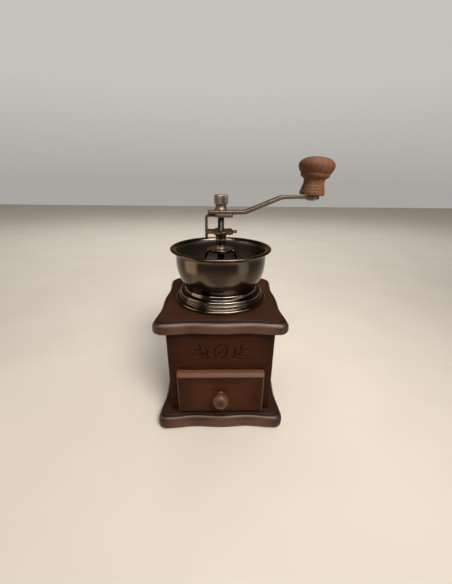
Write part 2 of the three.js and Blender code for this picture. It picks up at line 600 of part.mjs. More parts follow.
// ------------------------------------------------------------------ lock plate and crank arm
function lockPlate() {
  const mid = LOCK.z1 - LOCK.thickness / 2;
  const tab = bentStrip(
    [[LOCK.x0 + 2, mid], [LOCK.legX, mid], [LOCK.legX, LOCK.legZ]],
    LOCK.tabBend, LOCK.tabThickness, LOCK.legWidth,
  );
  const plate = block(LOCK.x0, -LOCK.halfWidth, LOCK.z1 - LOCK.thickness, LOCK.x1, LOCK.halfWidth, LOCK.z1);
  return cut(join(plate, tab), bar(BORE_R, LOCK.z1 - LOCK.thickness - 1, LOCK.z1 + 1));
}
add('lock_plate', lockPlate(), finish.pewter);

const tilt = THREE.MathUtils.degToRad(KNOB.tiltDeg);
const tipFall = Math.tan(THREE.MathUtils.degToRad(ARM.tipFallDeg));
const armSeatZ = ARM.crownZ - tipFall * (KNOB.x - ARM.crownX);

// The knob's seat frame: its origin is on the arm's upper face and its Z is the knob's axis.
const knobSeat = new THREE.Group();
knobSeat.position.set(
  KNOB.x + Math.sin(tilt) * ARM.thickness / 2,
  0,
  armSeatZ + Math.cos(tilt) * ARM.thickness / 2,
);
knobSeat.rotation.y = tilt;
mill.add(knobSeat);

function inKnobSeat(geometry) {
  return geometry.rotateY(tilt).translate(knobSeat.position.x, 0, knobSeat.position.z);
}

function crankArm() {
  const strip = bentStrip([
    [ARM.hubX - 1, ARM.hubZ], [ARM.bendX, ARM.hubZ], [ARM.riseX, ARM.riseZ],
    [ARM.crownX, ARM.crownZ], [ARM.tipX + 1, ARM.crownZ - tipFall * (ARM.tipX + 1 - ARM.crownX)],
  ], ARM.bendReach, ARM.thickness, ARM.width + 2);
  const w = ARM.width / 2;
  const plan = new THREE.Shape();
  plan.moveTo(ARM.hubX + ARM.hubCorner, -w);
  plan.lineTo(ARM.tipX - w, -w);
  plan.absarc(ARM.tipX - w, 0, w, -Math.PI / 2, Math.PI / 2, false);
  plan.lineTo(ARM.hubX + ARM.hubCorner, w);
  plan.lineTo(ARM.hubX, w - ARM.hubCorner);
  plan.lineTo(ARM.hubX, -w + ARM.hubCorner);
  const shaped = common(strip, prism(plan, ARM.hubZ - 10, ARM.crownZ + 10, 5));
  const hubHole = bar(BORE_R, ARM.hubZ - 5, ARM.hubZ + 5);
  const pinHole = inKnobSeat(bar(KNOB.boreR, -10, 10, 0, 0, SIDES.small));
  return cut(shaped, hubHole, pinHole);
}
add('crank_arm', crankArm(), finish.pewter);

// ------------------------------------------------------------------ knob on its pin
const pinHeadZ = -ARM.thickness - PIN.headGap;
add('knob_pin', turned([
  [0, pinHeadZ - PIN.headHeight], [3, pinHeadZ - PIN.headHeight],
  [PIN.headR, pinHeadZ - 0.5], [PIN.headR, pinHeadZ],
  [PIN.r, pinHeadZ], [PIN.r, PIN.topZ], [0, PIN.topZ],
], SIDES.medium), finish.brightSteel, knobSeat);
add('knob_washer', turnedRing([
  [KNOB.boreR, KNOB_WASHER.z0], [KNOB_WASHER.r, KNOB_WASHER.z0],
  [KNOB_WASHER.r, KNOB_WASHER.z1], [KNOB.boreR, KNOB_WASHER.z1],
], SIDES.medium), finish.brightSteel, knobSeat);
// The knob's underside has a shallow recess over the washer.
add('crank_knob', turned([
  [KNOB.boreR, KNOB.recessZ], [KNOB.recessR, KNOB.recessZ], [KNOB.recessR, 0.45], [9.7, 0.45],
  [10.5, 1.2], [10.65, 2.3], [10.4, 3.8], [10.1, 4.3], [10.1, 5.2], [9.6, 6.4], [9.5, 7.4],
  [8.8, 9.4], [8.7, 11.4], [9.2, 13.4], [11.1, 14.7], [12.15, 16.2], [12.2, 17.4], [12.9, 18.5],
  [14.4, 21.1], [14.95, 23.6], [14.5, 25.4], [13.3, 27.1], [11.2, 28.6], [8.2, 29.7],
  [4.5, 30.3], [0, KNOB.topZ],
  [0, PIN.topZ + 0.5], [KNOB.boreR, PIN.topZ + 0.5], [KNOB.boreR, KNOB.recessZ],
], KNOB.sides), finish.knobWood, knobSeat);

// ------------------------------------------------------------------ thumb nut and its foot
add('nut_foot', turnedRing([
  [BORE_R, COLLAR.z0], [COLLAR.footR, COLLAR.z0], [COLLAR.footR, COLLAR.z0 + 0.9],
  [COLLAR.neckR + 0.3, COLLAR.z0 + 2.1], [COLLAR.neckR, COLLAR.z1], [BORE_R, COLLAR.z1],
], SIDES.medium), finish.brightSteel);

function thumbNut() {
  const body = turned([
    [BORE_R, NUT.z0], [NUT.neckR, NUT.z0], [NUT.neckR, NUT.z0 + 0.6], [NUT.r, NUT.z0 + 2.6],
    [NUT.r, NUT.z1 - 0.6], [NUT.r - 0.7, NUT.z1], [0, NUT.z1], [0, NUT.boreTop],
    [BORE_R, NUT.boreTop], [BORE_R, NUT.z0],
  ], NUT.ridges);
  const ridges = prism(toothedShape(NUT.ridges, NUT.r + 0.2, NUT.r - NUT.ridgeDepth), NUT.z0 - 1, NUT.z1 + 1);
  return common(body, ridges);
}
add('thumb_nut', thumbNut(), finish.pewter);

export default mill;
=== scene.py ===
"""Hand-cranked box coffee mill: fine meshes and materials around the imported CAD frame.

The CAD bodies carry every piece. Lengths in the shape code are millimetres in the row's frame
(+Z up, drawer towards -Y, crank arm along +X); raw_object() turns them into metres.
"""
from functools import partialmethod
from math import atan2, ceil, cos, degrees, hypot, pi, radians, sin, sqrt, tan, tanh
import bpy
import bmesh
import numpy as np
from mathutils import Matrix, Vector


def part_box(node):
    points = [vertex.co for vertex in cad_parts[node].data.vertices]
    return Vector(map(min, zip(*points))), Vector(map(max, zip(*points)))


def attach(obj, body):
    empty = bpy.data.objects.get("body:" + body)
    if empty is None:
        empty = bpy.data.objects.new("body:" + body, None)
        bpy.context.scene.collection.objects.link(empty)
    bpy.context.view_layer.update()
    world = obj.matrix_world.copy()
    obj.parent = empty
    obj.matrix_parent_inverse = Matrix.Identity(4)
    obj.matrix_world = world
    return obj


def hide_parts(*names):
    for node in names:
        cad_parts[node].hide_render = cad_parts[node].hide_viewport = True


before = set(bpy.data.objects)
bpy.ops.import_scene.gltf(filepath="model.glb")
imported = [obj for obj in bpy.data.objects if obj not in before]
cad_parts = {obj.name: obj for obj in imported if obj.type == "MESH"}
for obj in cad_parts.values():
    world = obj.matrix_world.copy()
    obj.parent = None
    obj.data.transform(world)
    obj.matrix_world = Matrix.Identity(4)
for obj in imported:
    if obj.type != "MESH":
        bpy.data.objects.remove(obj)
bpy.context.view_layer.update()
MM = 0.001
scene = bpy.context.scene


def node_box(node):
    """A CAD node's lowest and highest corners, in millimetres."""
    low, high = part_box(node)
    return Vector(low) / MM, Vector(high) / MM


# ---- node graphs
class Value:
    """A socket's value; sums, products and steps of it add nodes to its graph."""

    def __init__(self, graph, socket):
        self.graph, self.socket = graph, socket

    def maths(self, operation, *others):
        inputs = dict(enumerate((self, *others)))
        return self.graph.add("ShaderNodeMath", 0, inputs, operation=operation)

    __add__ = partialmethod(maths, "ADD")
    __sub__ = partialmethod(maths, "SUBTRACT")
    __mul__ = partialmethod(maths, "MULTIPLY")
    __truediv__ = partialmethod(maths, "DIVIDE")
    __abs__ = partialmethod(maths, "ABSOLUTE")
    times_add = partialmethod(maths, "MULTIPLY_ADD")
    larger = partialmethod(maths, "MAXIMUM")
    smaller = partialmethod(maths, "MINIMUM")

    def steps(self, low, high):
        """0 up to low, 1 from high on, smooth between; low may be the greater of the two."""
        inputs = {"Value": self, "From Min": low, "From Max": high}
        return self.graph.add("ShaderNodeMapRange", "Result", inputs, interpolation_type="SMOOTHSTEP")

    def ramp(self, stops):
        node = self.graph.node("ShaderNodeValToRGB", {"Fac": self})
        elements = node.color_ramp.elements
        while len(elements) < len(stops):
            elements.new(0.5)
        for element, (place, colour) in zip(elements, stops):
            element.position, element.color = place, opaque(colour)
        return Value(self.graph, node.outputs["Color"])

    def axes(self):
        """The x, y and z of a place."""
        node = self.graph.node("ShaderNodeSeparateXYZ", {"Vector": self})
        return [Value(self.graph, output) for output in node.outputs]


def opaque(colour):
    """A red, green and blue triple with full alpha; a Value stays as it is."""
    return colour if isinstance(colour, Value) else (*colour, 1)


class Graph:
    """Adds and links the nodes of one tree."""

    def __init__(self, tree):
        self.tree = tree

    def feed(self, node, inputs):
        """Links a Value, or sets a plain value, to each input by its name or number."""
        for key, value in inputs.items():
            if isinstance(value, Value):
                self.tree.links.new(value.socket, node.inputs[key])
            else:
                node.inputs[key].default_value = value

    def node(self, kind, inputs, **settings):
        node = self.tree.nodes.new(kind)
        for key, value in settings.items():
            setattr(node, key, value)
        self.feed(node, inputs)
        return node

    def add(self, kind, output, inputs, **settings):
        return Value(self, self.node(kind, inputs, **settings).outputs[output])

    def mix(self, amount, a, b):
        """Colour a, with amount of colour b in it."""
        inputs = {0: amount, 6: opaque(a), 7: opaque(b)}
        return self.add("ShaderNodeMix", 2, inputs, data_type="RGBA")

    def noise(self, place, scale, detail, roughness=0.5, distortion=0.0):
        inputs = {"Vector": place, "Scale": scale, "Detail": detail, "Roughness": roughness,
                  "Distortion": distortion}
        return self.add("ShaderNodeTexNoise", "Fac", inputs)

    def place_mm(self, stretch=(1, 1, 1), shift=(0, 0, 0)):
        """Object coordinates in millimetres, times stretch and moved by shift."""
        coords = self.add("ShaderNodeTexCoord", "Object", {})
        inputs = {"Vector": coords, "Scale": tuple(s / MM for s in stretch), "Location": shift}
        return self.add("ShaderNodeMapping", "Vector", inputs)

    def bump(self, height, strength, depth_mm):
        inputs = {"Height": height, "Strength": strength, "Distance": depth_mm * MM}
        return self.add("ShaderNodeBump", "Normal", inputs)


class Shader(Graph):
    """A material and the graph that ends in its Principled BSDF."""

    def __init__(self, name):
        self.material = bpy.data.materials.new(name)
        self.material.use_nodes = True
        super().__init__(self.material.node_tree)

    def surface(self, **inputs):
        """Feeds the shader's sockets, Base_Color for "Base Color", and gives the material."""
        named = {key.replace("_", " "): value for key, value in inputs.items()}
        self.feed(self.tree.nodes["Principled BSDF"], named)
        return self.material


# ---- camera, light and floor
CAMERA_PLACE = (-0.000315, -0.243303, 0.221141)
CAMERA_PITCH, CAMERA_YAW, CAMERA_ROLL = 0.398, 0.023, 0.011
CAMERA_LENS, CAMERA_SENSOR, CAMERA_NEAR = 16.23, 36, 0.01


def make_camera():
    level = Vector((sin(CAMERA_YAW), cos(CAMERA_YAW), 0))
    ahead = level * cos(CAMERA_PITCH) - Vector((0, 0, sin(CAMERA_PITCH)))
    right = Vector((cos(CAMERA_YAW), -sin(CAMERA_YAW), 0))
    up = right.cross(ahead)
    rolled_right = right * cos(CAMERA_ROLL) + up * sin(CAMERA_ROLL)
    rolled_up = up * cos(CAMERA_ROLL) - right * sin(CAMERA_ROLL)
    data = bpy.data.cameras.new("camera")
    data.lens, data.sensor_width, data.clip_start = CAMERA_LENS, CAMERA_SENSOR, CAMERA_NEAR
    camera = bpy.data.objects.new("camera", data)
    turn = Matrix((rolled_right, rolled_up, -ahead)).transposed().to_4x4()
    camera.matrix_world = Matrix.Translation(CAMERA_PLACE) @ turn
    scene.collection.objects.link(camera)
    scene.camera = camera


UP = (0, 0, 10)
BOWL = (0, 0, 0.13)
# Each light: where it is, what it faces, its size, its power in watts, the degrees that hold its
# light, and its colour. A mirrored one is a reflection card that lights nothing.
LIGHTS = {
    "lit and mirrored": {
        "key_light": ((0.32, -0.55, 0.74), (0, 0.05, 0.08), (0.42, 0.3), 1.45, 70, (1, 0.9, 0.79)),
    },
    "lit": {
        "top_light": ((0, 0.8, 1.25), (0, 0.8, 0), (2, 0.8), 3.2, 80, (1, 0.97, 0.92)),
        "room_light": ((0, 1.2, 2.2), (0, 1.2, 0), (6, 4.6), 38, 160, (1, 0.97, 0.93)),
    },
    "mirrored": {
        "ceiling_card": ((0.05, -0.06, 1), (0, 0, 0), (0.42, 0.34), 5, 160, (1, 0.95, 0.87)),
        "front_card": ((0.1, -0.45, 0.92), (0, 0, 0), (1.15, 0.2), 12.5, 160, (1, 0.96, 0.9)),
        "left_card": ((-0.3, -0.075, 0.17), BOWL, (0.2, 0.34), 0.43, 160, (1, 0.8, 0.54)),
        "right_card": ((0.265, -0.195, 0.17), BOWL, (0.16, 0.34), 0.18, 160, (0.93, 0.97, 1)),
        "left_floor_card": ((-0.18, -0.12, 0.004), UP, (0.2, 0.22), 0.09, 170, (1, 0.86, 0.66)),
        "right_floor_card": ((0.16, -0.17, 0.004), UP, (0.18, 0.2), 0.075, 170, (1, 0.93, 0.84)),
    },
}


def soft_light(name, kind, place, aim, size, power, spread, colour):
    data = bpy.data.lights.new(name, "AREA")
    data.shape, data.energy, data.color = "RECTANGLE", power, colour
    data.size, data.size_y = size
    data.spread = radians(spread)
    lamp = bpy.data.objects.new(name, data)
    lamp.location = place
    lamp.rotation_euler = (Vector(aim) - Vector(place)).to_track_quat("-Z", "Y").to_euler()
    lamp.visible_camera = False
    lamp.visible_glossy = "mirrored" in kind
    lamp.visible_diffuse = "lit" in kind
    scene.collection.objects.link(lamp)


# Stops of the room's colour from level to overhead, of how far a direction is the far wall's, and
# of the backdrop that the camera sees.
WALL_STOPS = [
    (0, (0.41, 0.31, 0.2)), (0.14, (0.25, 0.17, 0.1)), (0.3, (0.1, 0.056, 0.027)),
    (1, (0.062, 0.038, 0.022))]
FAR_WALL_STOPS = [(0.0, (0, 0, 0)), (0.7, (1, 1, 1))]
BACKDROP_STOPS = [(0.0, (0.4, 0.385, 0.36)), (0.25, (0.56, 0.54, 0.51))]
ROOM_DARK = (0.07, 0.05, 0.036)


def make_world():
    """A dim warm room with a paler far wall; seen directly, it is a plain pale backdrop."""
    world = bpy.data.worlds.new("studio")
    world.use_nodes = True
    graph = Graph(world.node_tree)
    y, z = graph.add("ShaderNodeTexCoord", "Generated", {}).axes()[1:]
    room = graph.mix(y.ramp(FAR_WALL_STOPS), ROOM_DARK, z.ramp(WALL_STOPS))
    seen = graph.add("ShaderNodeLightPath", "Is Camera Ray", {})
    colour = graph.mix(seen, room, z.ramp(BACKDROP_STOPS))
    graph.feed(world.node_tree.nodes["Background"], {"Color": colour})
    scene.world = world


def make_studio():
    for kind, lights in LIGHTS.items():
        for name, settings in lights.items():
            soft_light(name, kind, *settings)
    make_world()
    scene.view_settings.view_transform = "Standard"


FLOOR_REACH = 2.4
FLOOR_STOPS = [(0.3, (0.74, 0.71, 0.66)), (0.7, (0.78, 0.75, 0.70))]


def make_floor():
    shader = Shader("floor_paint")
    cloud = shader.noise(shader.place_mm(), 0.01, 2)
    paint = shader.surface(Base_Color=cloud.ramp(FLOOR_STOPS), Roughness=0.7)
    mesh = bpy.data.meshes.new("floor")
    corners = [(x * FLOOR_REACH, y * FLOOR_REACH, 0) for x, y in ((-1, -1), (1, -1), (1, 1), (-1, 1))]
    mesh.from_pydata(corners, [], [(0, 1, 2, 3)])
    mesh.materials.append(paint)
    floor = bpy.data.objects.new("floor", mesh)
    scene.collection.objects.link(floor)


# ---- wood and metal
GRAIN_STRETCH = 0.06
# Colour factors for wood that is darker towards edges and for painted shade.
EDGE_AND_SHADE_DARK = (0.26, 0.2, 0.18)
# Colour factors for painted highlights and painted light, partly wear: paler and far less saturated.
LIGHT_AND_WEAR_TINT = (2.75, 4.1, 7.0)
COAT_ROUGHNESS = 0.38


def scaled(colour, red, green=None, blue=None):
    """A colour times one factor, or times a factor for each channel."""
    factors = (red, red, red) if green is None else (red, green, blue)
    return tuple(c * f for c, f in zip(colour, factors))


def wood(name, colour, along, dark_edges_and_shade=None, painted_light_and_wear=None, *, roughness, pores, contrast=0.22, seed=0.0,
         coat=0.0, shine=0.1):
    """Wood with its grain along one axis: broad tone, streaks, fine pores, darker edges, painted shade
    and painted light.

    The first of the two masks is a function of the shader that gives a 0 to 1 mask of darker wood:
    towards edges, and painted shade in grooves and recesses.
    The second, only used with the first, gives one of lighter wood: painted highlights and painted light
    on upward faces, partly wear."""
    shader = Shader(name)
    stretch = [1.0, 1.0, 1.0]
    stretch["XYZ".index(along)] = GRAIN_STRETCH
    place = shader.place_mm()
    grain = shader.place_mm(stretch, (seed, seed * 2, seed * 3))
    streaks = shader.noise(grain, 0.3, 5, 0.62, 0.4)
    lines = shader.noise(grain, 1.5, 3, 0.6, 0.2)
    pore = shader.noise(grain, 3.4, 2).steps(0.6, 0.74)
    swing = 1.4 * contrast
    tint = streaks.times_add(0.6, lines * 0.4).ramp([
        (0.34, scaled(colour, 1 - swing)), (0.5, colour), (0.66, scaled(colour, 1 + swing))])
    patch = shader.noise(place, 0.02, 2).steps(0.38, 0.66)
    tint = shader.mix(patch * 0.3, tint, scaled(colour, 0.62))
    tint = shader.mix(pore * pores, tint, scaled(colour, 0.4))
    if dark_edges_and_shade:
        # Darker towards edges, and painted shade in grooves and recesses.
        edge_and_shade_share = dark_edges_and_shade(shader)
        tint = shader.mix(edge_and_shade_share, tint, scaled(colour, *EDGE_AND_SHADE_DARK))
        # Painted highlights and painted light on upward faces, partly wear.
        if painted_light_and_wear:
            tint = shader.mix(painted_light_and_wear(shader), tint, scaled(colour, *LIGHT_AND_WEAR_TINT))
            coat = edge_and_shade_share.steps(0.62, 0.95).times_add(-0.95 * coat, coat)
    rough = shader.noise(place, 0.12, 3).times_add(0.2, roughness - 0.1)
    return shader.surface(
        Base_Color=tint, Roughness=rough, Coat_Weight=coat, Coat_Roughness=COAT_ROUGHNESS,
        Specular_IOR_Level=shine, Normal=shader.bump(lines * 0.35 - pore, 0.3, 0.1 * pores))


def metal(name, colour, roughness, spread, second, marks=0.03):
    """Plated or bare metal: smudged roughness, marks (mm deep), and a second tone in the patina."""
    shader = Shader(name)
    place = shader.place_mm()
    cloud = shader.noise(place, 0.09, 4, 0.6, 0.3)
    speck = shader.noise(place, 1.6, 4, 0.65)
    patina = speck.times_add(0.35, cloud * 0.65).steps(0.38, 0.66)
    rough = speck.times_add(spread * 0.6, cloud.times_add(spread, roughness - spread / 2))
    return shader.surface(Base_Color=shader.mix(patina * 0.6, colour, second), Metallic=1.0,
                          Roughness=rough, Normal=shader.bump(speck, 0.25, marks))


def wander(shader, scale, amount):
    """Slow noise about zero, for mask edges that are never straight."""
    return shader.noise(shader.place_mm(), scale, 3).times_add(amount, -amount / 2)


def box_edge_and_recess_shade_mask(facing):
    """Darkening of a panel that faces X or Y towards its ends and its foot, and painted shade on what is
    cut into its face.
    """
    def mask(shader):
        x, y, z = shader.place_mm().axes()
        low, high = node_box("box_front_panel")
        across, depth = (abs(x), abs(y)) if facing == "Y" else (abs(y), abs(x))
        ends = (across / high.x + wander(shader, 0.05, 0.16)).steps(0.6, 1.0)
        foot = z.steps(low.z + 16, low.z)
        inside = across.steps(high.x - 0.1, high.x - 0.8)
        # Painted shade on faces set back from the front: the carving and the drawer opening.
        recess_shade = depth.steps(high.x - 0.03, high.x - 0.4) * inside
        return (ends.larger(foot) * 0.55).larger(recess_shade * 0.85)
    return mask


# The moulded plates' land stands this high, this far in from the outline, above a nose with a flat
# band and a rounded underside.
LAND_INSET, LAND_HEIGHT, NOSE_BAND, UNDER_ROUND = 4.6, 1.2, 0.6, 3.0


def plate_edge_and_groove_shade_mask(node):
    """Darkening of a moulded plate towards its corners and foot, and painted shade, darkest, in the step
    and cove round its land.
    """
    def mask(shader):
        x, y, z = shader.place_mm().axes()
        low, high = node_box(node)
        share = abs(x).smaller(abs(y)) / high.x
        corner = (share + wander(shader, 0.05, 0.1)).steps(0.62, 1.0)
        foot = z.steps(low.z + 3.5, low.z)
        ledge = high.z - LAND_HEIGHT
        # Painted shade in the step and cove between the land and the nose.
        groove_shade = z.steps(high.z - 0.02, high.z - 0.3) * z.steps(ledge - 0.9, ledge - 0.1)
        return groove_shade.larger(corner.larger(foot) * 0.6)
    return mask


def plate_nose_highlight_and_wear_mask(node):
    """Painted highlight, partly wear, as lighter wood along the middle of a moulded plate's nose,
    strongest away from its corners.
    """
    def mask(shader):
        x, y, z = shader.place_mm().axes()
        half_width = node_box(node)[1].x
        outer = abs(x).larger(abs(y)) / half_width
        share = abs(x).smaller(abs(y)) / half_width
        nose = (outer + wander(shader, 0.04, 0.05)).steps(0.93, 0.98)
        return nose * share.steps(1.0, 0.6) * 0.85
    return mask


def drawer_upward_painted_light_mask(shader):
    """Painted light: lighter wood on the drawer's chamfers and on top of its front."""
    high = node_box("drawer_front")[1]
    x, y, z = shader.place_mm().axes()
    top = z.steps(high.z - 3.4, high.z - 2.4)
    side = abs(x).steps(high.x - 1.9, high.x - 1.5)
    return top.larger(side * 0.5) * (wander(shader, 0.08, 0.7) + 0.75)


def drawer_edge_mask(shader):
    """Darkening of the drawer's face towards its four edges; the chamfer is left out of it."""
    low, high = node_box("drawer_front")
    middle = ((low + high) / 2).z
    x, y, z = shader.place_mm().axes()
    up = abs(z - middle) / (high.z - middle)
    edge = (abs(x) / high.x).larger(up) + wander(shader, 0.06, 0.2)
    return edge.steps(0.4, 0.95) * 0.6 * y.steps(low.y + 1.4, low.y + 0.2)


def pull_end_grain_and_neck_shade_mask(shader):
    """Dark end grain in the middle of the pull's face, and painted shade in a dark line where its neck
    starts.
    """
    low, high = node_box("drawer_pull")
    x, y, z = shader.place_mm().axes()
    height = z - (((low + high) / 2).z + 1.2)
    grain = shader.noise(shader.place_mm(), 0.9, 4, 0.7).steps(0.36, 0.58)
    centre = x.times_add(x, height * height).steps(17, 3) * y.steps(low.y + 2.6, low.y + 1.2)
    # Painted shade in a dark line where the neck starts.
    return (centre * grain).larger(y.steps(high.y - 5.0, high.y - 2.5) * 0.7)


# Each metal: its colour, roughness, the spread of that, the patina's colour, and its marks in mm.
METALS = {
    "black_nickel": ((0.068, 0.052, 0.04), 0.17, 0.06, (0.056, 0.041, 0.03), 0.01),
    # The ring's nickel: a lighter copy of the black nickel, partly its own plating and partly painted
    # light that brightens the highlights on its step edges.
    "ring_nickel_and_painted_light": ((0.108, 0.091, 0.076), 0.14, 0.05, (0.075, 0.06, 0.048), 0.01),
    "bowl_inside": ((0.1, 0.088, 0.074), 0.38, 0.08, (0.07, 0.06, 0.05), 0.02),
    "pewter": ((0.14, 0.11, 0.089), 0.42, 0.14, (0.078, 0.055, 0.041), 0.06),
    "nut_pewter": ((0.21, 0.178, 0.148), 0.4, 0.14, (0.13, 0.1, 0.08), 0.06),
    # The star wheel's metal: a brown pewter tone, partly its own and partly a painted reflection of
    # brown wood.
    "pewter_with_painted_wood_reflection": ((0.094, 0.055, 0.033), 0.36, 0.12, (0.058, 0.031, 0.018), 0.05),
    "bright_steel": ((0.38, 0.345, 0.3), 0.42, 0.1, (0.25, 0.22, 0.19)),
    "black_steel": ((0.036, 0.033, 0.03), 0.34, 0.12, (0.02, 0.018, 0.016)),
    "cast_iron": ((0.19, 0.185, 0.18), 0.6, 0.15, (0.12, 0.11, 0.1), 0.12),
}


def make_looks():
    """Every material by its name."""
    plate, box, drawer = (0.041, 0.0114, 0.0043), (0.044, 0.0122, 0.0042), (0.062, 0.0198, 0.0070)
    knob, pull, pale = (0.166, 0.073, 0.036), (0.105, 0.045, 0.021), (0.46, 0.30, 0.17)
    slab = {"coat": 0.3, "roughness": 0.5, "pores": 0.4, "shine": 0.12}
    panel = {"coat": 0.05, "roughness": 0.5, "pores": 0.45, "shine": 0.05}
    raw = {"roughness": 0.8, "pores": 0.5}
    looks = {}

    def add(name, *settings, **more):
        looks[name] = wood(name, *settings, **more)
    add("top_plate_wood", plate, "X", plate_edge_and_groove_shade_mask("top_plate"), plate_nose_highlight_and_wear_mask("top_plate"),
        **slab)
    add("base_plate_wood", plate, "X", plate_edge_and_groove_shade_mask("base_plate"), plate_nose_highlight_and_wear_mask("base_plate"),
        seed=9.0, **slab)
    add("box_front_wood", box, "X", box_edge_and_recess_shade_mask("Y"), seed=3.0, **panel)
    add("box_side_wood", box, "Y", box_edge_and_recess_shade_mask("X"), seed=5.0, **panel)
    add("drawer_wood", drawer, "X", drawer_edge_mask, drawer_upward_painted_light_mask, seed=7.0, **panel)
    add("raw_wood", pale, "Y", seed=2.0, **raw)
    add("raw_wood_cross", pale, "X", seed=4.0, **raw)
    add("knob_wood", knob, "Z", roughness=0.6, pores=0.55, contrast=0.26, seed=1.0)
    add("pull_wood", pull, "Y", pull_end_grain_and_neck_shade_mask, roughness=0.5, pores=0.7, contrast=0.34, seed=6.0,
        coat=0.2)
    return looks | {name: metal(name, *settings) for name, settings in METALS.items()}


LOOKS = make_looks()


# ---- outlines and meshes
NEARLY_STRAIGHT = radians(89.5)


def rounded(corners, arc, closed=True):
    """An outline whose corners (x, y, radius) are rounded off in steps of at most arc degrees."""
    out = []
    count = len(corners)
    for i, (x, y, radius) in enumerate(corners):
        here = Vector((x, y))
        if radius <= 0 or (not closed and i in (0, count - 1)):
            out.append((x, y))
            continue
        back = Vector(corners[i - 1][:2]) - here
        ahead = Vector(corners[(i + 1) % count][:2]) - here
        half = back.angle(ahead) / 2
        if half > NEARLY_STRAIGHT:
            out.append((x, y))
            continue
        reach = min(radius / tan(half), 0.48 * back.length, 0.48 * ahead.length)
        radius = reach * tan(half)
        inward = (back.normalized() + ahead.normalized()).normalized()
        centre = here + inward * (radius / sin(half))
        spoke = here + back.normalized() * reach - centre
        sweep = pi - 2 * half
        if back.x * ahead.y - back.y * ahead.x > 0:
            sweep = -sweep
        steps = max(1, ceil(abs(degrees(sweep)) / arc))
        for k in range(steps + 1):
            turn = sweep * k / steps
            c, s = cos(turn), sin(turn)
            out.append((centre.x + spoke.x * c - spoke.y * s, centre.y + spoke.x * s + spoke.y * c))
    return out


def curve_through(points, steps):
    """A smooth line through the points (Catmull-Rom), in this many steps from each to the next."""
    p = [np.array(q, float) for q in points]
    p = [2 * p[0] - p[1], *p, 2 * p[-1] - p[-2]]
    out = []
    for a, b, c, d in zip(p, p[1:], p[2:], p[3:]):
        for k in range(steps):
            t = k / steps
            out.append(tuple(0.5 * (2 * b + (c - a) * t + (2 * a - 5 * b + 4 * c - d) * t ** 2
                                    + (3 * b - a - 3 * c + d) * t ** 3)))
    return out + [tuple(p[-2])]


def resampled(line, step):
    """The same line with points no further than step apart."""
    out = [line[0]]
    for (x0, y0), (x1, y1) in zip(line, line[1:]):
        parts = max(1, ceil(hypot(x1 - x0, y1 - y0) / step))
        out += [(x0 + (x1 - x0) * k / parts, y0 + (y1 - y0) * k / parts) for k in range(1, parts + 1)]
    return out


def doubled_area(line):
    """Twice the area inside an outline, negative where it runs clockwise."""
    return sum(a[0] * b[1] - b[0] * a[1] for a, b in zip(line, line[1:] + line[:1]))


def turned(profile, sides, shape=None):
    """Points and faces of a body turned about Z from (radius, height) pairs.

    A profile that starts on the axis ends on it; any other closes into a loop.
    shape(radius, height, angle) may change a radius, for knurls, teeth and threads."""
    closed = profile[0][0] > 0
    if doubled_area(profile) < 0:
        profile = profile[::-1]
    points, rows = [], []
    for r, z in profile:
        if r < 1e-6:
            rows.append([len(points)] * sides)
            points.append((0, 0, z))
            continue
        rows.append(range(len(points), len(points) + sides))
        for k in range(sides):
            angle = 2 * pi * k / sides
            radius = shape(r, z, angle) if shape else r
            points.append((radius * cos(angle), radius * sin(angle), z))
    faces = []
    for low, high in list(zip(rows, rows[1:])) + ([(rows[-1], rows[0])] if closed else []):
        for k in range(sides):
            n = (k + 1) % sides
            face = list(dict.fromkeys((low[k], low[n], high[n], high[k])))
            if len(face) > 2:
                faces.append(face)
    return points, faces


def lathe(corners, sides, arc):
    """A body turned about Z from corners (radius, height, rounding radius)."""
    return turned(rounded(corners, arc, closed=corners[0][0] > 0), sides)


def drill(radius, low, high):
    """A round bar on the Z axis, to cut a bore with."""
    return turned([(0, low), (radius, low), (radius, high), (0, high)], 48)


def layered(rings, cap_ends=True):
    """Points and faces of a skin through equal rings of points, closed at both ends."""
    points = [p for ring in rings for p in ring]
    size = len(rings[0])
    faces = []
    for i in range(len(rings) - 1):
        for k in range(size):
            n = (k + 1) % size
            faces.append((i * size + k, i * size + n, (i + 1) * size + n, (i + 1) * size + k))
    if cap_ends:
        faces.append(tuple(reversed(range(size))))
        faces.append(tuple(range((len(rings) - 1) * size, len(rings) * size)))
    return points, faces


def swept_bar(path, half_width, thickness, edge):
    """A flat bar along a line in X and Z. half_width(along, length) gives half its width along Y."""
    line = [Vector(p) for p in path]
    lengths = [0.0]
    for a, b in zip(line, line[1:]):
        lengths.append(lengths[-1] + (b - a).length)
    rings = []
    for i, centre in enumerate(line):
        along = (line[min(i + 1, len(line) - 1)] - line[max(i - 1, 0)]).normalized()
        up = Vector((-along.y, along.x))
        wide = max(half_width(lengths[i], lengths[-1]), 0.05)
        corners = [(u * wide, v * thickness / 2, min(edge, wide * 0.9))
                   for u, v in ((1, 1), (-1, 1), (-1, -1), (1, -1))]
        rings.append([(centre.x + up.x * v, u, centre.y + up.y * v) for u, v in rounded(corners, 30)])
    return layered(rings)


def bar_ends(width, tip_round, start_round):
    """Half width along a bar whose start has rounded corners and whose tip ends in an arc."""
    def half_width(along, length):
        half = width / 2
        for gap, radius in ((along, start_round), (length - along, tip_round)):
            if gap < radius:
                half = min(half, width / 2 - radius + sqrt(max(radius ** 2 - (radius - gap) ** 2, 0)))
        return half
    return half_width


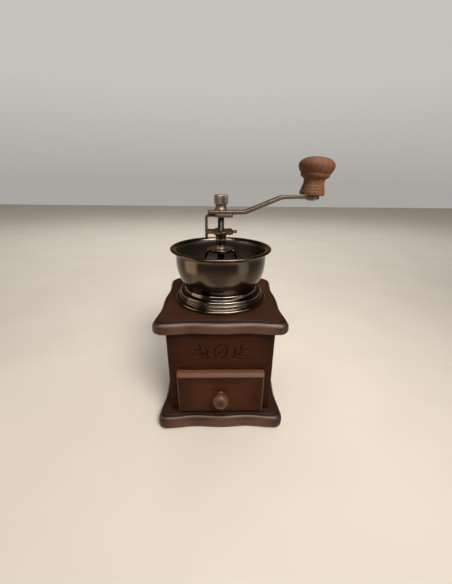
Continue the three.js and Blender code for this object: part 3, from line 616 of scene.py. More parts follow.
def extruded(outline, z0, z1, edge):
    """A plate of one outline from z0 to z1 whose rims are rounded by moving points inwards."""
    line = [Vector(p) for p in outline]
    if doubled_area(line) < 0:
        line.reverse()
    inward = []
    for i in range(len(line)):
        along = (line[(i + 1) % len(line)] - line[i - 1]).normalized()
        inward.append(Vector((-along.y, along.x)))
    bend = [radians(a) for a in (0, 30, 60, 90)]
    levels = [(edge * (1 - sin(a)), z0 + edge * (1 - cos(a))) for a in bend]
    levels += [(inset, z0 + z1 - z) for inset, z in reversed(levels)]
    return layered([[(p.x + n.x * inset, p.y + n.y * inset, z) for p, n in zip(line, inward)]
                    for inset, z in levels])


def board(low, high, edge):
    """A board with softly rounded edges between two corners."""
    size = Vector(high) - Vector(low)
    place = Matrix.Translation((Vector(low) + Vector(high)) / 2) @ Matrix.Diagonal((*size, 1))
    mesh = bmesh.new()
    bmesh.ops.create_cube(mesh, size=1.0)
    bmesh.ops.transform(mesh, matrix=place, verts=mesh.verts)
    bmesh.ops.bevel(mesh, geom=mesh.edges[:], offset=edge, segments=3, profile=0.5, affect="EDGES")
    mesh.verts.index_update()
    points = [tuple(v.co) for v in mesh.verts]
    faces = [tuple(v.index for v in f.verts) for f in mesh.faces]
    mesh.free()
    return points, faces


# ---- objects and pieces
def move_mm(mesh, turn):
    """Moves a mesh by a matrix that is in millimetres."""
    mesh.transform(Matrix.Scale(MM, 4) @ turn @ Matrix.Scale(1 / MM, 4))


def raw_object(name, shape, turn=None):
    """An object in metres from points and faces in millimetres."""
    points, faces = shape
    mesh = bpy.data.meshes.new(name)
    mesh.from_pydata([tuple(c * MM for c in p) for p in points], [], faces)
    if turn is not None:
        move_mm(mesh, turn)
    work = bmesh.new()
    work.from_mesh(mesh)
    bmesh.ops.remove_doubles(work, verts=work.verts, dist=1e-8)
    bmesh.ops.recalc_face_normals(work, faces=work.faces)
    work.to_mesh(mesh)
    work.free()
    obj = bpy.data.objects.new(name, mesh)
    scene.collection.objects.link(obj)
    return obj


def combine(obj, *tools):
    """Joins (shape, "UNION") or cuts (shape, "DIFFERENCE") other shapes into obj for good."""
    for shape, operation in tools:
        tool = raw_object("tool", shape)
        step = obj.modifiers.new("step", "BOOLEAN")
        step.object, step.operation, step.solver = tool, operation, "EXACT"
        bpy.context.view_layer.update()
        made = obj.evaluated_get(bpy.context.evaluated_depsgraph_get())
        made = bpy.data.meshes.new_from_object(made)
        obj.modifiers.clear()
        obj.data = made
        bpy.data.objects.remove(tool)


def dress(obj, slot, body, node, look=None, sharp=32):
    """Gives a piece smooth shading, a look, by default the slot's, and its body, and hides its CAD node.
    """
    obj.data.materials.clear()
    obj.data.materials.append(LOOKS[look or slot])
    obj.data.shade_smooth()
    obj.data.set_sharp_from_angle(angle=radians(sharp))
    weighted = obj.modifiers.new("weighted_normal", "WEIGHTED_NORMAL")
    weighted.keep_sharp = True
    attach(obj, body)
    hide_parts(node)
    return obj


def piece(name, shape, slot, body, node, look=None, turn=None, sharp=32):
    return dress(raw_object(name, shape, turn), slot, body, node, look, sharp)


def repaint(node, look):
    """A CAD node that stays as it is gets its own procedural material."""
    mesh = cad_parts[node].data
    mesh.materials.clear()
    mesh.materials.append(LOOKS[look])


# ---- moulded plates
PLATE_CORNER, MID_SETBACK, DIP_SETBACK = 8.0, 1.0, 1.7
SIDE_STEPS, CORNER_STEPS = 40, 10
HOUSING_HOLE = 28.4


def plate_outline(half_width, inset):
    """A square with rounded corners and shallow serpentine sides, counter-clockwise."""
    half = half_width - inset
    corner = PLATE_CORNER - inset * 0.6
    straight = half - corner
    quarter = []
    for i in range(SIDE_STEPS):
        t = 2 * i / SIDE_STEPS - 1
        setback = MID_SETBACK * cos(t * pi / 2) ** 2 + DIP_SETBACK * sin(t * pi) ** 2
        quarter.append((half - setback, t * straight))
    for i in range(CORNER_STEPS):
        angle = i / CORNER_STEPS * pi / 2
        quarter.append((straight + corner * cos(angle), straight + corner * sin(angle)))
    turns = ((1, 0), (0, 1), (-1, 0), (0, -1))
    return [(x * c - y * s, x * s + y * c) for c, s in turns for x, y in quarter]


def plate_profile(z0, z1):
    """(inset, height) pairs up the moulded edge: soft underside, broad nose, cove, step and land."""
    ledge = z1 - LAND_HEIGHT
    rise = (ledge - z0 - NOSE_BAND) / 2
    nose_z = z0 + rise + NOSE_BAND
    bend = [radians(a) for a in range(0, 91, 10)]
    under = [(UNDER_ROUND * (1 - sin(a)), z0 + UNDER_ROUND * (1 - cos(a))) for a in bend]
    nose = [(LAND_INSET * (1 - cos(a)), nose_z + rise * sin(a)) for a in bend[:-1]]
    cove = [(-0.12, ledge - 0.04), (0.02, ledge + 0.08), (0.08, ledge + 0.3)]
    land = [(0.08, z1 - 0.45), (0.2, z1 - 0.18), (0.45, z1 - 0.04), (0.9, z1)]
    return under + nose + [(LAND_INSET + inset, z) for inset, z in cove + land]


def moulded_plate(node, hole=0.0):
    low, high = node_box(node)
    rings = [[(x, y, z) for x, y in plate_outline(high.x, inset)]
             for inset, z in plate_profile(low.z, high.z)]
    if not hole:
        return layered(rings)
    angles = [atan2(y, x) for x, y in plate_outline(high.x, 0)]
    circle = [(hole * cos(a), hole * sin(a)) for a in angles]
    rings = [[(x, y, low.z) for x, y in circle], *rings, [(x, y, high.z) for x, y in circle]]
    points, faces = layered(rings, cap_ends=False)
    size, top = len(circle), (len(rings) - 1) * len(circle)
    faces += [(top + k, top + (k + 1) % size, (k + 1) % size, k) for k in range(size)]
    return points, faces


def screw_pocket(node):
    """A countersunk hole round a base screw, open below."""
    low, high = node_box(node)
    head, shank, mouth = (high.x - low.x) / 2 + 0.25, 1.8, low.z + 0.25
    throat = mouth + head - shank
    points, faces = turned([(0, -1), (head, -1), (head, mouth), (shank, throat), (0, throat)], 40)
    mid_x, mid_y = (low.x + high.x) / 2, (low.y + high.y) / 2
    return [(x + mid_x, y + mid_y, z) for x, y, z in points], faces


def make_plates():
    base = raw_object("base_moulding", moulded_plate("base_plate"))
    for index in range(1, 5):
        combine(base, (screw_pocket(f"base_screw_{index}"), "DIFFERENCE"))
    dress(base, "varnished_wood", "housing", "base_plate", "base_plate_wood")
    piece("top_moulding", moulded_plate("top_plate", HOUSING_HOLE), "varnished_wood", "housing",
          "top_plate", "top_plate_wood")


# ---- box panels and the carving
CARVING_Z, CARVING_DEPTH, CARVING_SLOPE = 81.0, 0.9, 1.25
CARVING_REACH_X, CARVING_REACH_Z, CARVING_STEP = 28.0, 10.15, 0.35
DRAWER_HOLE_X, DRAWER_HOLE_LOW, DRAWER_HOLE_HIGH = 37.2, 18.2, 60.0
FRONT_EDGE = 1.0
RAIL_GUIDE_X, RAIL_TOP = 37.0, 18.4
# The right-hand sprig's stem and leaves, as (x, z) points.
STEM = [(7.5, -5.2), (10.5, -5.0), (14.0, -3.4), (17.5, -0.8), (20.5, 2.4), (22.6, 6.2)]
LEAVES = [
    ((9.6, -5.1), (13, -7.6), (17.8, -8.4)), ((12.6, -4.1), (12.4, 0.4), (14.6, 5)),
    ((15.6, -2.3), (19.6, -4.6), (24.6, -4.2)), ((18.6, 0.2), (18.2, 4.4), (19.6, 8.6)),
    ((20.6, 2.5), (23.6, 1.4), (27, 2.6))]
STEM_CUT, LEAF_CUT, BEAN_CUT, SEAM_CUT = 0.5, 1.15, 0.75, 0.7
BEAN_TILT, BEAN_WIDE, BEAN_TALL, BEAN_STEPS = radians(-18), 5.6, 7.6, 28


def bean_lines():
    """A coffee bean's outline and its wavy seam."""
    turn = Matrix.Rotation(BEAN_TILT, 2)
    angles = [2 * pi * k / BEAN_STEPS for k in range(BEAN_STEPS + 1)]
    rim = [(BEAN_WIDE * cos(a), BEAN_TALL * sin(a)) for a in angles]
    seam = [(1.5 * sin(pi * t), BEAN_TALL * 0.82 * t) for t in np.linspace(-1, 1, 13)]
    return [[tuple(turn @ Vector(p)) for p in line] for line in (rim, seam)]


def swell(line, width):
    """Half widths of a cut that starts fine, swells past its middle and runs out to a point."""
    shares = [k / (len(line) - 1) for k in range(len(line))]
    return [width * (0.22 + 0.78 * sin(pi * t ** 0.8) if t < 1 else 0.12) for t in shares]


def carved_strokes():
    """All cuts of the ornament as points and the half width at each one."""
    rim, seam = bean_lines()
    strokes = [(rim, [BEAN_CUT] * len(rim)), (seam, swell(seam, SEAM_CUT))]
    for points, width in ((STEM, STEM_CUT), *[(leaf, LEAF_CUT) for leaf in LEAVES]):
        line = curve_through(points, 6)
        widths = swell(line, width)
        strokes += [(line, widths), ([(-x, z) for x, z in line], widths)]
    return strokes


def carve_depth(x, z):
    """Depth of the carving at points (x, z) measured from its centre: a V cut along each stroke."""
    depth = np.zeros_like(x)
    for points, widths in carved_strokes():
        for (ax, az), (bx, bz), wa, wb in zip(points, points[1:], widths, widths[1:]):
            dx, dz = bx - ax, bz - az
            t = np.clip(((x - ax) * dx + (z - az) * dz) / (dx * dx + dz * dz), 0, 1)
            away = np.hypot(x - ax - t * dx, z - az - t * dz)
            half = wa + (wb - wa) * t
            depth = np.maximum(depth, np.clip(CARVING_SLOPE * (half - away), 0, CARVING_DEPTH))
    return depth


def grid_lines(low, high, extras):
    """Grid lines from low to high: close together at both rounded ends and at the extras."""
    fine = [FRONT_EDGE * f for f in (0, 0.06, 0.25, 0.55, 1.0)]
    lines = [*[low + f for f in fine], *[high - f for f in fine], *extras]
    return np.array(sorted({round(line, 4) for line in lines}))


def front_panel():
    """The front board as a grid whose points sink into the carving and round off at its ends."""
    low, high = node_box("box_front_panel")
    carved_x = np.arange(-CARVING_REACH_X, CARVING_REACH_X + CARVING_STEP / 2, CARVING_STEP)
    carved_z = np.arange(-CARVING_REACH_Z, CARVING_REACH_Z + CARVING_STEP / 2, CARVING_STEP)
    xs = grid_lines(low.x, high.x, [*carved_x, -DRAWER_HOLE_X, DRAWER_HOLE_X])
    zs = grid_lines(low.z, high.z, [*(CARVING_Z + carved_z), DRAWER_HOLE_LOW, DRAWER_HOLE_HIGH])
    x, z = np.meshgrid(xs, zs, indexing="ij")
    side = np.clip(FRONT_EDGE - (high.x - np.abs(x)), 0, FRONT_EDGE)
    sunk = carve_depth(x, z - CARVING_Z) + FRONT_EDGE - np.sqrt(FRONT_EDGE ** 2 - side ** 2)
    across, up = len(xs), len(zs)
    front = np.stack([x, low.y + sunk, z], axis=-1).reshape(-1, 3)
    back = np.stack([x, np.full_like(x, high.y), z], axis=-1).reshape(-1, 3)
    points = [tuple(p) for p in np.concatenate([front, back])]
    shift = across * up
    mid_x, mid_z = np.abs(xs[:-1] + xs[1:]) / 2, (zs[:-1] + zs[1:]) / 2
    kept = {(i, k) for i in range(across - 1) for k in range(up - 1)
            if mid_x[i] >= DRAWER_HOLE_X or not DRAWER_HOLE_LOW < mid_z[k] < DRAWER_HOLE_HIGH}
    faces = []
    for i, k in sorted(kept):
        a, b, c, d = i * up + k, (i + 1) * up + k, (i + 1) * up + k + 1, i * up + k + 1
        faces += [(a, b, c, d), (d + shift, c + shift, b + shift, a + shift)]
        neighbours = (((i, k - 1), a, b), ((i + 1, k), b, c), ((i, k + 1), c, d), ((i - 1, k), d, a))
        faces += [(q, p, p + shift, q + shift) for cell, p, q in neighbours if cell not in kept]
    return points, faces


def make_box():
    piece("front_board", front_panel(), "box_wood", "housing", "box_front_panel", "box_front_wood",
          sharp=50)
    for name, look, edge in (("back", "box_front_wood", 0.9), ("left", "box_side_wood", 0.25),
                             ("right", "box_side_wood", 0.25)):
        node = f"box_{name}_panel"
        piece(name + "_board", board(*node_box(node), edge), "box_wood", "housing", node, look)
    for name in ("drawer_rail_left", "drawer_rail_right"):
        low, high = node_box(name)
        outer, inner, sign = (high.x, low.x, 1) if high.x > 0 else (low.x, high.x, -1)
        outline = rounded([(inner, low.z, 0.3), (outer, low.z, 0.3), (outer, high.z, 0.5),
                           (sign * RAIL_GUIDE_X, high.z, 0.6), (sign * RAIL_GUIDE_X, RAIL_TOP, 0.3),
                           (inner, RAIL_TOP, 0.6)], 30)
        rings = [[(x, y, z) for x, z in outline] for y in (low.y, high.y)]
        piece(name + "_wood", layered(rings), "raw_wood", "housing", name)


# ---- drawer
CHAMFER_SIDE, CHAMFER_DEPTH = 2.8, 2.9
DRAWER_CORNER, DRAWER_SIDE_SHARE = 0.9, 0.55
PULL_PROFILE = [
    (0, 0), (4.5, 0), (4.8, 0.3), (4.8, 0.8), (4.3, 1.3), (4, 1.8), (4.25, 2.4), (5.2, 3), (6.2, 3.9),
    (6.95, 5), (7.3, 6.5), (7.2, 8), (6.8, 9.4), (5.9, 10.7), (4.6, 11.65), (2.8, 12.27), (1.3, 12.47),
    (0, 12.5)]


def drawer_front_shape():
    """A board whose face edge is a soft chamfer, from rings of rounded rectangles."""
    low, high = node_box("drawer_front")
    depth = high.y - low.y
    chamfer = rounded([(0.0, 0.0, 0), (0.0, depth - CHAMFER_DEPTH, 0.7), (CHAMFER_SIDE, depth, 0.8),
                       (CHAMFER_SIDE + 2, depth, 0)], 12, closed=False)
    rings = []
    for inset, out in [(0.5, 0.0), (0.15, 0.12), (0.0, 0.5), *chamfer[1:]]:
        side = inset * DRAWER_SIDE_SHARE
        corners = [
            (high.x - side, high.z - inset), (low.x + side, high.z - inset),
            (low.x + side, low.z + inset), (high.x - side, low.z + inset)]
        line = rounded([(x, z, DRAWER_CORNER) for x, z in corners], 22)
        rings.append([(x, high.y - out, z) for x, z in line])
    return layered(rings)


def make_drawer():
    piece("drawer_face", drawer_front_shape(), "box_wood", "drawer", "drawer_front", "drawer_wood")
    for name, look, edge in (("side_left", "raw_wood", 0.5), ("side_right", "raw_wood", 0.5),
                             ("back", "raw_wood_cross", 0.5), ("bottom", "raw_wood_cross", 0.25)):
        node = "drawer_" + name
        piece(node + "_board", board(*node_box(node), edge), "raw_wood", "drawer", node, look)
    low, high = node_box("drawer_pull")
    seat = Matrix.Translation((0, high.y, (low.z + high.z) / 2)) @ Matrix.Rotation(pi / 2, 4, "X")
    line = [(max(r, 0), z) for r, z in PULL_PROFILE[:1] + curve_through(PULL_PROFILE[1:], 3)]
    piece("drawer_pull_knob", turned(line, 64), "knob_wood", "drawer", "drawer_pull", "pull_wood",
          turn=seat, sharp=60)


# ---- step ring and hopper bowl
RING_CORNERS = [
    (41.1, 114.6, 0.2), (42.5, 114.6, 0.2), (42.5, 115.9, 0.4), (43.8, 116, 0.8), (43.8, 118, 1.4),
    (40.6, 118.8, 0.5), (40.5, 121.5, 1.3), (39.4, 121.9, 0.3), (39.3, 124.6, 1.6), (35.1, 125.2, 0.5),
    (34.5, 128.5, 1.4), (31.3, 128.5, 0.2), (31.3, 127, 0.2), (32.8, 127, 0.2), (33.8, 123.9, 0.2),
    (37.6, 123, 0.2), (38.2, 120.2, 0.2), (38.9, 117.4, 0.2), (41.1, 117, 0.2)]
BOWL_LINE = [
    (30.2, 128.5), (31.6, 128.7), (33.4, 129.2), (35.2, 130.5), (36.7, 132.7), (38.2, 135.7),
    (39.5, 138.8), (40.5, 142), (41.4, 146.6), (41.85, 151), (41.9, 155), (41.75, 158.6),
    (41.95, 160.6), (42.7, 162.1), (43.9, 162.9), (45.2, 163.1), (46.2, 163.3), (46.75, 163.8),
    (46.75, 164.4), (46.2, 164.9), (45, 165.1), (43.6, 165), (42.3, 164.4), (41.2, 163.1),
    (40.6, 161.2), (40.45, 158.6), (40.6, 155), (40.55, 151), (40.1, 146.6), (39.3, 142.4),
    (38.2, 139.2), (37, 136.4), (35.6, 133.6), (34.2, 131.6), (32.6, 130.3), (30.2, 129.8)]
BOWL_HOLE, RIM_FOOT = 20.0, 162.5


def make_hopper():
    piece("stepped_collar", lathe(RING_CORNERS, 128, 18), "black_nickel", "housing", "step_ring",
          "ring_nickel_and_painted_light")
    wall = [
        (BOWL_HOLE + 0.2, 128.5), *curve_through(BOWL_LINE, 3), (BOWL_HOLE + 0.2, 129.8),
        (BOWL_HOLE, 129.6), (BOWL_HOLE, 128.7)]
    shell = piece("hopper_shell", turned(wall, 128), "black_nickel", "housing", "hopper_bowl", sharp=50)
    shell.data.materials.append(LOOKS["bowl_inside"])
    for face in shell.data.polygons:
        faces_in = face.normal.xy.dot(face.center.xy.normalized()) < 0.1
        if faces_in and face.center.z < RIM_FOOT * MM:
            face.material_index = 1


# ---- bridge, bushing and screws
SHAFT_BORE, BUSH_SLEEVE = 3.15, 4.0
STRAP_WIDTH, STRAP_THICK, STRAP_KNEE, STRAP_DISC = 11.0, 2.2, 22.6, 12.0
SCREW_X, SCREW_HEAD, SCREW_HEIGHT, SCREW_SHANK, SCREW_LENGTH = 27.2, 2.3, 1.8, 1.3, 11


def make_bridge():
    low, high = node_box("bridge")
    floor, crown = low.z + STRAP_THICK / 2, high.z - 0.2 - STRAP_THICK / 2
    half = [(STRAP_DISC, crown, 3.0), (STRAP_KNEE, floor, 3.0), (high.x, floor, 0)]
    path = resampled(rounded([(-x, z, r) for x, z, r in half[::-1]] + half, 9, closed=False), 1.2)
    strap = raw_object("bridge_strap",
                       swept_bar(path, bar_ends(STRAP_WIDTH, 3.5, 3.5), STRAP_THICK, 0.45))
    seat = lathe([(0, high.z - 2.4, 0), (STRAP_DISC, high.z - 2.4, 0.5), (STRAP_DISC, high.z, 0.6),
                  (0, high.z, 0)], 72, 15)
    combine(strap, (seat, "UNION"), (drill(4.2, high.z - 6, high.z + 4), "DIFFERENCE"))
    dress(strap, "black_nickel", "housing", "bridge")
    foot, top = node_box("bridge_bushing")
    bushing = [
        (SHAFT_BORE, foot.z, 0.1), (BUSH_SLEEVE, foot.z, 0.2), (BUSH_SLEEVE, high.z, 0.1),
        (top.x, high.z, 0.15), (top.x, high.z + 0.9, 0.25), (top.x - 0.7, high.z + 1.2, 0.2),
        (top.x - 0.7, top.z, 0.35), (SHAFT_BORE, top.z, 0.2)]
    piece("bushing_sleeve", lathe(bushing, 64, 20), "bright_steel", "housing", "bridge_bushing")
    make_bridge_screw("bridge_screw_left", (-SCREW_X, 0, low.z + STRAP_THICK))
    make_bridge_screw("bridge_screw_right", (SCREW_X, 0, low.z + STRAP_THICK))


def make_bridge_screw(node, place):
    """A slotted screw with a domed head, its head's foot at place."""
    corners = [
        (0, -SCREW_LENGTH, 0), (SCREW_SHANK, -SCREW_LENGTH, 0.3), (SCREW_SHANK, 0, 0),
        (SCREW_HEAD, 0, 0.15), (SCREW_HEAD, SCREW_HEIGHT * 0.55, 0.4), (0, SCREW_HEIGHT, 0)]
    screw = raw_object(node + "_piece", lathe(corners, 32, 15))
    slot = board((-SCREW_HEAD * 1.2, -0.35, SCREW_HEIGHT * 0.45),
                 (SCREW_HEAD * 1.2, 0.35, SCREW_HEIGHT * 1.6), 0.02)
    combine(screw, (slot, "DIFFERENCE"))
    move_mm(screw.data, Matrix.Translation(place))
    dress(screw, "bright_steel", "housing", node)


# ---- burrs and their housing
PLATE_TOP = 114.6
FINE_TEETH, COARSE_TEETH, CONE_SHOULDER = 24, 8, 101


def outer_teeth(r, z, angle):
    return r if r > 20.5 else 18.8 + 0.8 * cos(FINE_TEETH * (angle + 0.01 * (z - 95)))


def cone_teeth(r, z, angle):
    """Fine grinding teeth round the foot of the inner burr, and deep breaking flutes above."""
    if r < 4 or z > 117.9:
        return r
    if z < CONE_SHOULDER:
        return r - 0.5 + 0.5 * cos(FINE_TEETH * (angle - 0.012 * (z - 92)))
    above = z - CONE_SHOULDER
    lobe = 0.5 + 0.5 * cos(COARSE_TEETH * (angle - 0.035 * above))
    return max(r - 2.4 * (1 - lobe) ** 1.5 * min(1, above / 4), 7.4)


def make_burrs():
    low, high = node_box("burr_housing")
    casting = [
        (23.6, low.z, 0.4), (28, low.z, 0.8), (28, PLATE_TOP, 0.2), (38, PLATE_TOP, 0.3),
        (38, 117.2, 0.6), (31, 117.2, 0.8), (31, high.z, 0.2), (22.5, high.z, 0.8), (20, 118, 2),
        (20, 104.2, 0.2), (23.6, 104.2, 0.1)]
    piece("burr_housing_casting", lathe(casting, 96, 18), "cast_iron", "housing", "burr_housing")
    low, high = node_box("outer_burr")
    line = [(18.8, low.z + 0.01 + (high.z - low.z) * k / 12) for k in range(12, -1, -1)]
    line += [(23.5, low.z), (23.5, high.z)]
    piece("outer_burr_ring", turned(line, 192, outer_teeth), "cast_iron", "housing", "outer_burr",
          sharp=25)
    low, high = node_box("inner_burr")
    line = [(3.6, low.z), *[(17.3, low.z + 9 * k / 6 * 0.66) for k in range(7)], (16.6, 100)]
    line += [(15.9 - 7.9 * k / 14, CONE_SHOULDER + 17 * k / 14) for k in range(15)]
    piece("inner_burr_cone", turned([*line, (3.6, high.z)], 192, cone_teeth), "cast_iron", "spindle",
          "inner_burr", sharp=25)


# ---- shaft and grind adjuster
SHAFT_RADIUS, SHAFT_SHOULDER = 3.0, 159.0
THREAD_START, THREAD_PITCH, THREAD_DEPTH = 178.9, 1.0, 0.32
STAR_TEETH, STAR_TIP, STAR_NOTCH, STAR_STEPS, STAR_STEEPNESS = 7, 14.8, 11.0, 40, 2.0
STAR_DISC_Z = 177.9


def thread(r, z, angle):
    if z < THREAD_START or r < SHAFT_RADIUS - 0.01:
        return r
    turn = (z / THREAD_PITCH - angle / (2 * pi)) % 1.0
    return r - THREAD_DEPTH * min(1, (z - THREAD_START) / 1.0) * (1 - abs(2 * turn - 1))


def make_spindle():
    low, high = node_box("shaft")
    line = [
        (0, low.z), (2.8, low.z), (3.5, low.z + 0.8), (3.5, SHAFT_SHOULDER - 1.4),
        (SHAFT_RADIUS, SHAFT_SHOULDER - 1)]
    line += [(SHAFT_RADIUS, z) for z in np.arange(THREAD_START, high.z - 0.9, THREAD_PITCH / 6)]
    line += [(SHAFT_RADIUS - 0.02, high.z - 0.8), (2.2, high.z), (0, high.z)]
    piece("threaded_shaft", turned(line, 48, thread), "black_steel", "spindle", "shaft", sharp=40)
    for node, slot in (("thrust_washer", "pewter"), ("spacer_collar", "black_steel"),
                       ("star_washer", "bright_steel")):
        low, high = node_box(node)
        soft = min(0.35, (high.z - low.z) / 3)
        ring = [
            (SHAFT_BORE, low.z, 0.1), (high.x, low.z, soft), (high.x, high.z, soft),
            (SHAFT_BORE, high.z, 0.15)]
        piece(node + "_ring", lathe(ring, 56, 20), slot, "adjuster", node)


def star_outline():
    middle, swing = (STAR_TIP + STAR_NOTCH) / 2, (STAR_TIP - STAR_NOTCH) / 2
    out = []
    for k in range(STAR_TEETH * STAR_STEPS):
        angle = 2 * pi * k / (STAR_TEETH * STAR_STEPS)
        wave = tanh(STAR_STEEPNESS * cos(STAR_TEETH * angle))
        radius = middle + swing * wave / tanh(STAR_STEEPNESS)
        out.append((radius * cos(angle), radius * sin(angle)))
    return out


def make_star_wheel():
    low, high = node_box("star_wheel")
    wheel = raw_object("star_wheel_disc", extruded(star_outline(), STAR_DISC_Z, high.z, 0.4))
    neck, flange, flange_z = 4.8, 6.0, STAR_DISC_Z - 2.0
    hub = [
        (0, low.z, 0), (neck, low.z, 0.3), (neck, flange_z - 0.5, 0.3), (flange, flange_z, 0.3),
        (flange, STAR_DISC_Z - 0.9, 0.25), (flange - 0.35, STAR_DISC_Z - 0.7, 0.1),
        (flange - 0.35, STAR_DISC_Z + 0.6, 0), (0, STAR_DISC_Z + 0.6, 0)]
    combine(wheel, (lathe(hub, 64, 18), "UNION"),
            (drill(SHAFT_BORE, low.z - 2, high.z + 2), "DIFFERENCE"))
    dress(wheel, "pewter", "adjuster", "star_wheel", "pewter_with_painted_wood_reflection")


# ---- crank: lock plate, arm, nut and knob
KNOB_TILT, KNOB_X = radians(3.5), 78.9
ARM_THICK, ARM_WIDTH, ARM_HUB_Z = 2.8, 12.0, 196.0
ARM_BEND_X, ARM_RISE, ARM_CROWN = 21.2, (52.6, 208.75), (64.8, 209.3)
ARM_TIP_FALL = tan(radians(1.5))
LOCK_THICK, LOCK_LEFT, LEG_X, LEG_THICK, LEG_WIDTH = 2.7, -5.0, -13.1, 2.3, 4.4


def make_arm():
    low, high = node_box("crank_arm")
    tip_z = ARM_CROWN[1] - ARM_TIP_FALL * (high.x - ARM_CROWN[0])
    line = resampled(rounded([(low.x, ARM_HUB_Z, 0), (ARM_BEND_X, ARM_HUB_Z, 14), (*ARM_RISE, 14),
                              (*ARM_CROWN, 30), (high.x, tip_z, 0)], 2.5, closed=False), 1.0)
    start, tip = Vector(line[0]), Vector(line[-1])
    ease = [0.02, 0.12, 0.3, 0.6]
    line = [line[0], *[tuple(start.lerp(Vector(line[1]), f)) for f in ease], *line[1:-1],
            *[tuple(tip.lerp(Vector(line[-2]), f)) for f in ease[::-1]], line[-1]]
    bar = swept_bar(line, bar_ends(ARM_WIDTH, ARM_WIDTH / 2, 2.0), ARM_THICK, 0.5)
    piece("crank_bar", bar, "pewter", "spindle", "crank_arm")


def make_lock_plate():
    low, high = node_box("lock_plate")
    mid, wide = high.z - LOCK_THICK / 2, high.y
    outline = rounded([(high.x, -wide, 2.2), (high.x, wide, 2.2), (LOCK_LEFT, wide, 2.2),
                       (LOCK_LEFT, -wide, 2.2)], 15)
    plate = raw_object("lock_plate_bar", extruded(outline, high.z - LOCK_THICK, high.z, 0.35))
    path = rounded([(LOCK_LEFT + 3, mid, 0), (LEG_X, mid, 2.6), (LEG_X, low.z, 0)], 8, closed=False)
    leg = swept_bar(resampled(path, 1.2), bar_ends(LEG_WIDTH, 0.8, 0.3), LEG_THICK, 0.35)
    combine(plate, (leg, "UNION"), (drill(SHAFT_BORE, low.z, high.z + 2), "DIFFERENCE"))
    dress(plate, "pewter", "spindle", "lock_plate")


NUT_RIDGES, NUT_RIDGE_DEPTH = 34, 0.42


def make_nut():
    low, high = node_box("thumb_nut")
    radius = high.x
    knurl_low, knurl_high = low.z + 2.7, high.z - 0.7

    def knurl(r, z, angle):
        if r < radius - 0.3 or not knurl_low - 0.3 < z < knurl_high + 0.3:
            return r
        wave = abs(((angle * NUT_RIDGES / (2 * pi)) % 1.0) * 2 - 1)
        return r - NUT_RIDGE_DEPTH * (1 - wave) ** 1.2
    line = [(SHAFT_BORE, low.z), (4.4, low.z), (4.6, low.z + 0.15), (4.6, low.z + 0.5),
            (5.0, low.z + 1.1), (radius - 0.35, low.z + 2.3),
            *[(radius - 0.02, z) for z in np.linspace(knurl_low, knurl_high, 4)],
            (radius - 0.35, high.z - 0.3), (radius - 0.8, high.z - 0.02), (radius - 1.6, high.z),
            (0, high.z), (0, high.z - 2.3), (SHAFT_BORE, high.z - 2.3)]
    piece("thumb_nut_head", turned(line, NUT_RIDGES * 8, knurl), "pewter", "nut", "thumb_nut",
          "nut_pewter", sharp=40)
    low, high = node_box("nut_foot")
    foot = [
        (SHAFT_BORE, low.z, 0.1), (high.x, low.z, 0.25), (high.x, low.z + 0.95, 0.4),
        (4.85, low.z + 2, 0.6), (4.55, high.z, 0.15), (SHAFT_BORE, high.z, 0.1)]
    piece("nut_foot_collar", lathe(foot, 72, 15), "bright_steel", "nut_lift", "nut_foot", "pewter")


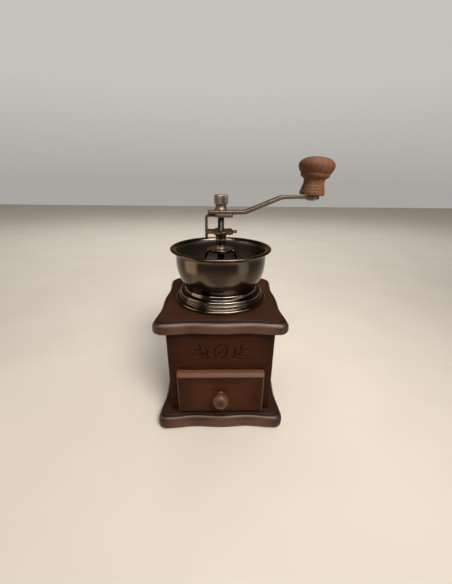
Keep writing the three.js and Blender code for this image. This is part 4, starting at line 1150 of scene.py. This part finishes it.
KNOB_LINE = [
    (9.7, 0.45), (10.2, 0.7), (10.55, 1.4), (10.65, 2.3), (10.6, 3.1), (10.4, 3.8), (10.1, 4.25),
    (10.15, 4.6), (10.1, 5.2), (9.8, 5.95), (9.55, 6.3), (9.65, 6.7), (9.5, 7.4), (9.1, 8.3),
    (8.8, 9.4), (8.7, 10.6), (8.7, 11.8), (8.85, 12.7), (9.25, 13.5), (10.1, 14.1), (11.1, 14.7),
    (11.8, 15.4), (12.15, 16.2), (12.25, 16.9), (12.15, 17.45), (12.4, 17.85), (12.9, 18.5),
    (13.6, 19.5), (14.4, 21.1), (14.85, 22.6), (14.95, 23.9), (14.6, 25.3), (13.75, 26.6), (12.3, 27.9),
    (10.3, 29), (7.6, 29.85), (4.4, 30.35), (1.5, 30.5)]
KNOB_TOP, KNOB_RECESS, PIN_BORE, PIN_BORE_TOP = 30.5, 7.4, 2.6, 26.0


def knob_seat():
    """The knob's frame: its origin on the arm's upper face, its Z along the pin."""
    seat_z = ARM_CROWN[1] - ARM_TIP_FALL * (KNOB_X - ARM_CROWN[0])
    place = Vector((KNOB_X + sin(KNOB_TILT) * ARM_THICK / 2, 0,
                    seat_z + cos(KNOB_TILT) * ARM_THICK / 2))
    return Matrix.Translation(place) @ Matrix.Rotation(KNOB_TILT, 4, "Y")


def make_knob():
    seat = knob_seat()
    line = [
        (PIN_BORE, 1.2), (KNOB_RECESS, 1.2), (KNOB_RECESS, 0.65), (KNOB_RECESS + 0.2, 0.45),
        *curve_through(KNOB_LINE, 3), (0, KNOB_TOP), (0, PIN_BORE_TOP), (PIN_BORE, PIN_BORE_TOP)]
    piece("crank_knob_wood", turned(line, 96), "knob_wood", "knob", "crank_knob", turn=seat, sharp=60)
    under = -ARM_THICK - 0.25
    pin = [
        (0, under - 1.4, 0), (2.4, under - 1.4, 0.5), (4.4, under - 0.5, 0.4), (4.4, under, 0.15),
        (2.4, under, 0), (2.4, 25.5, 0.3), (0, 25.5, 0)]
    piece("knob_pin_rivet", lathe(pin, 48, 15), "bright_steel", "spindle", "knob_pin", turn=seat)
    washer = [(PIN_BORE, 0.35, 0.05), (7, 0.35, 0.25), (7, 1.1, 0.25), (PIN_BORE, 1.1, 0.1)]
    piece("knob_washer_disc", lathe(washer, 64, 20), "bright_steel", "spindle", "knob_washer",
          turn=seat)


def repaint_hidden_hardware():
    repaint("lower_spider", "cast_iron")
    repaint("burr_nut", "black_steel")
    for name in (*[f"base_screw_{k}" for k in (1, 2, 3, 4)], *[f"housing_screw_{k}" for k in (1, 2, 3)],
                 "spider_screw_left", "spider_screw_right", "drawer_pull_screw"):
        repaint(name, "bright_steel")


for make in (make_camera, make_studio, make_floor, make_plates, make_box, make_drawer, make_hopper,
             make_bridge, make_burrs, make_spindle, make_star_wheel, make_lock_plate, make_arm, make_nut,
             make_knob, repaint_hidden_hardware):
    make()
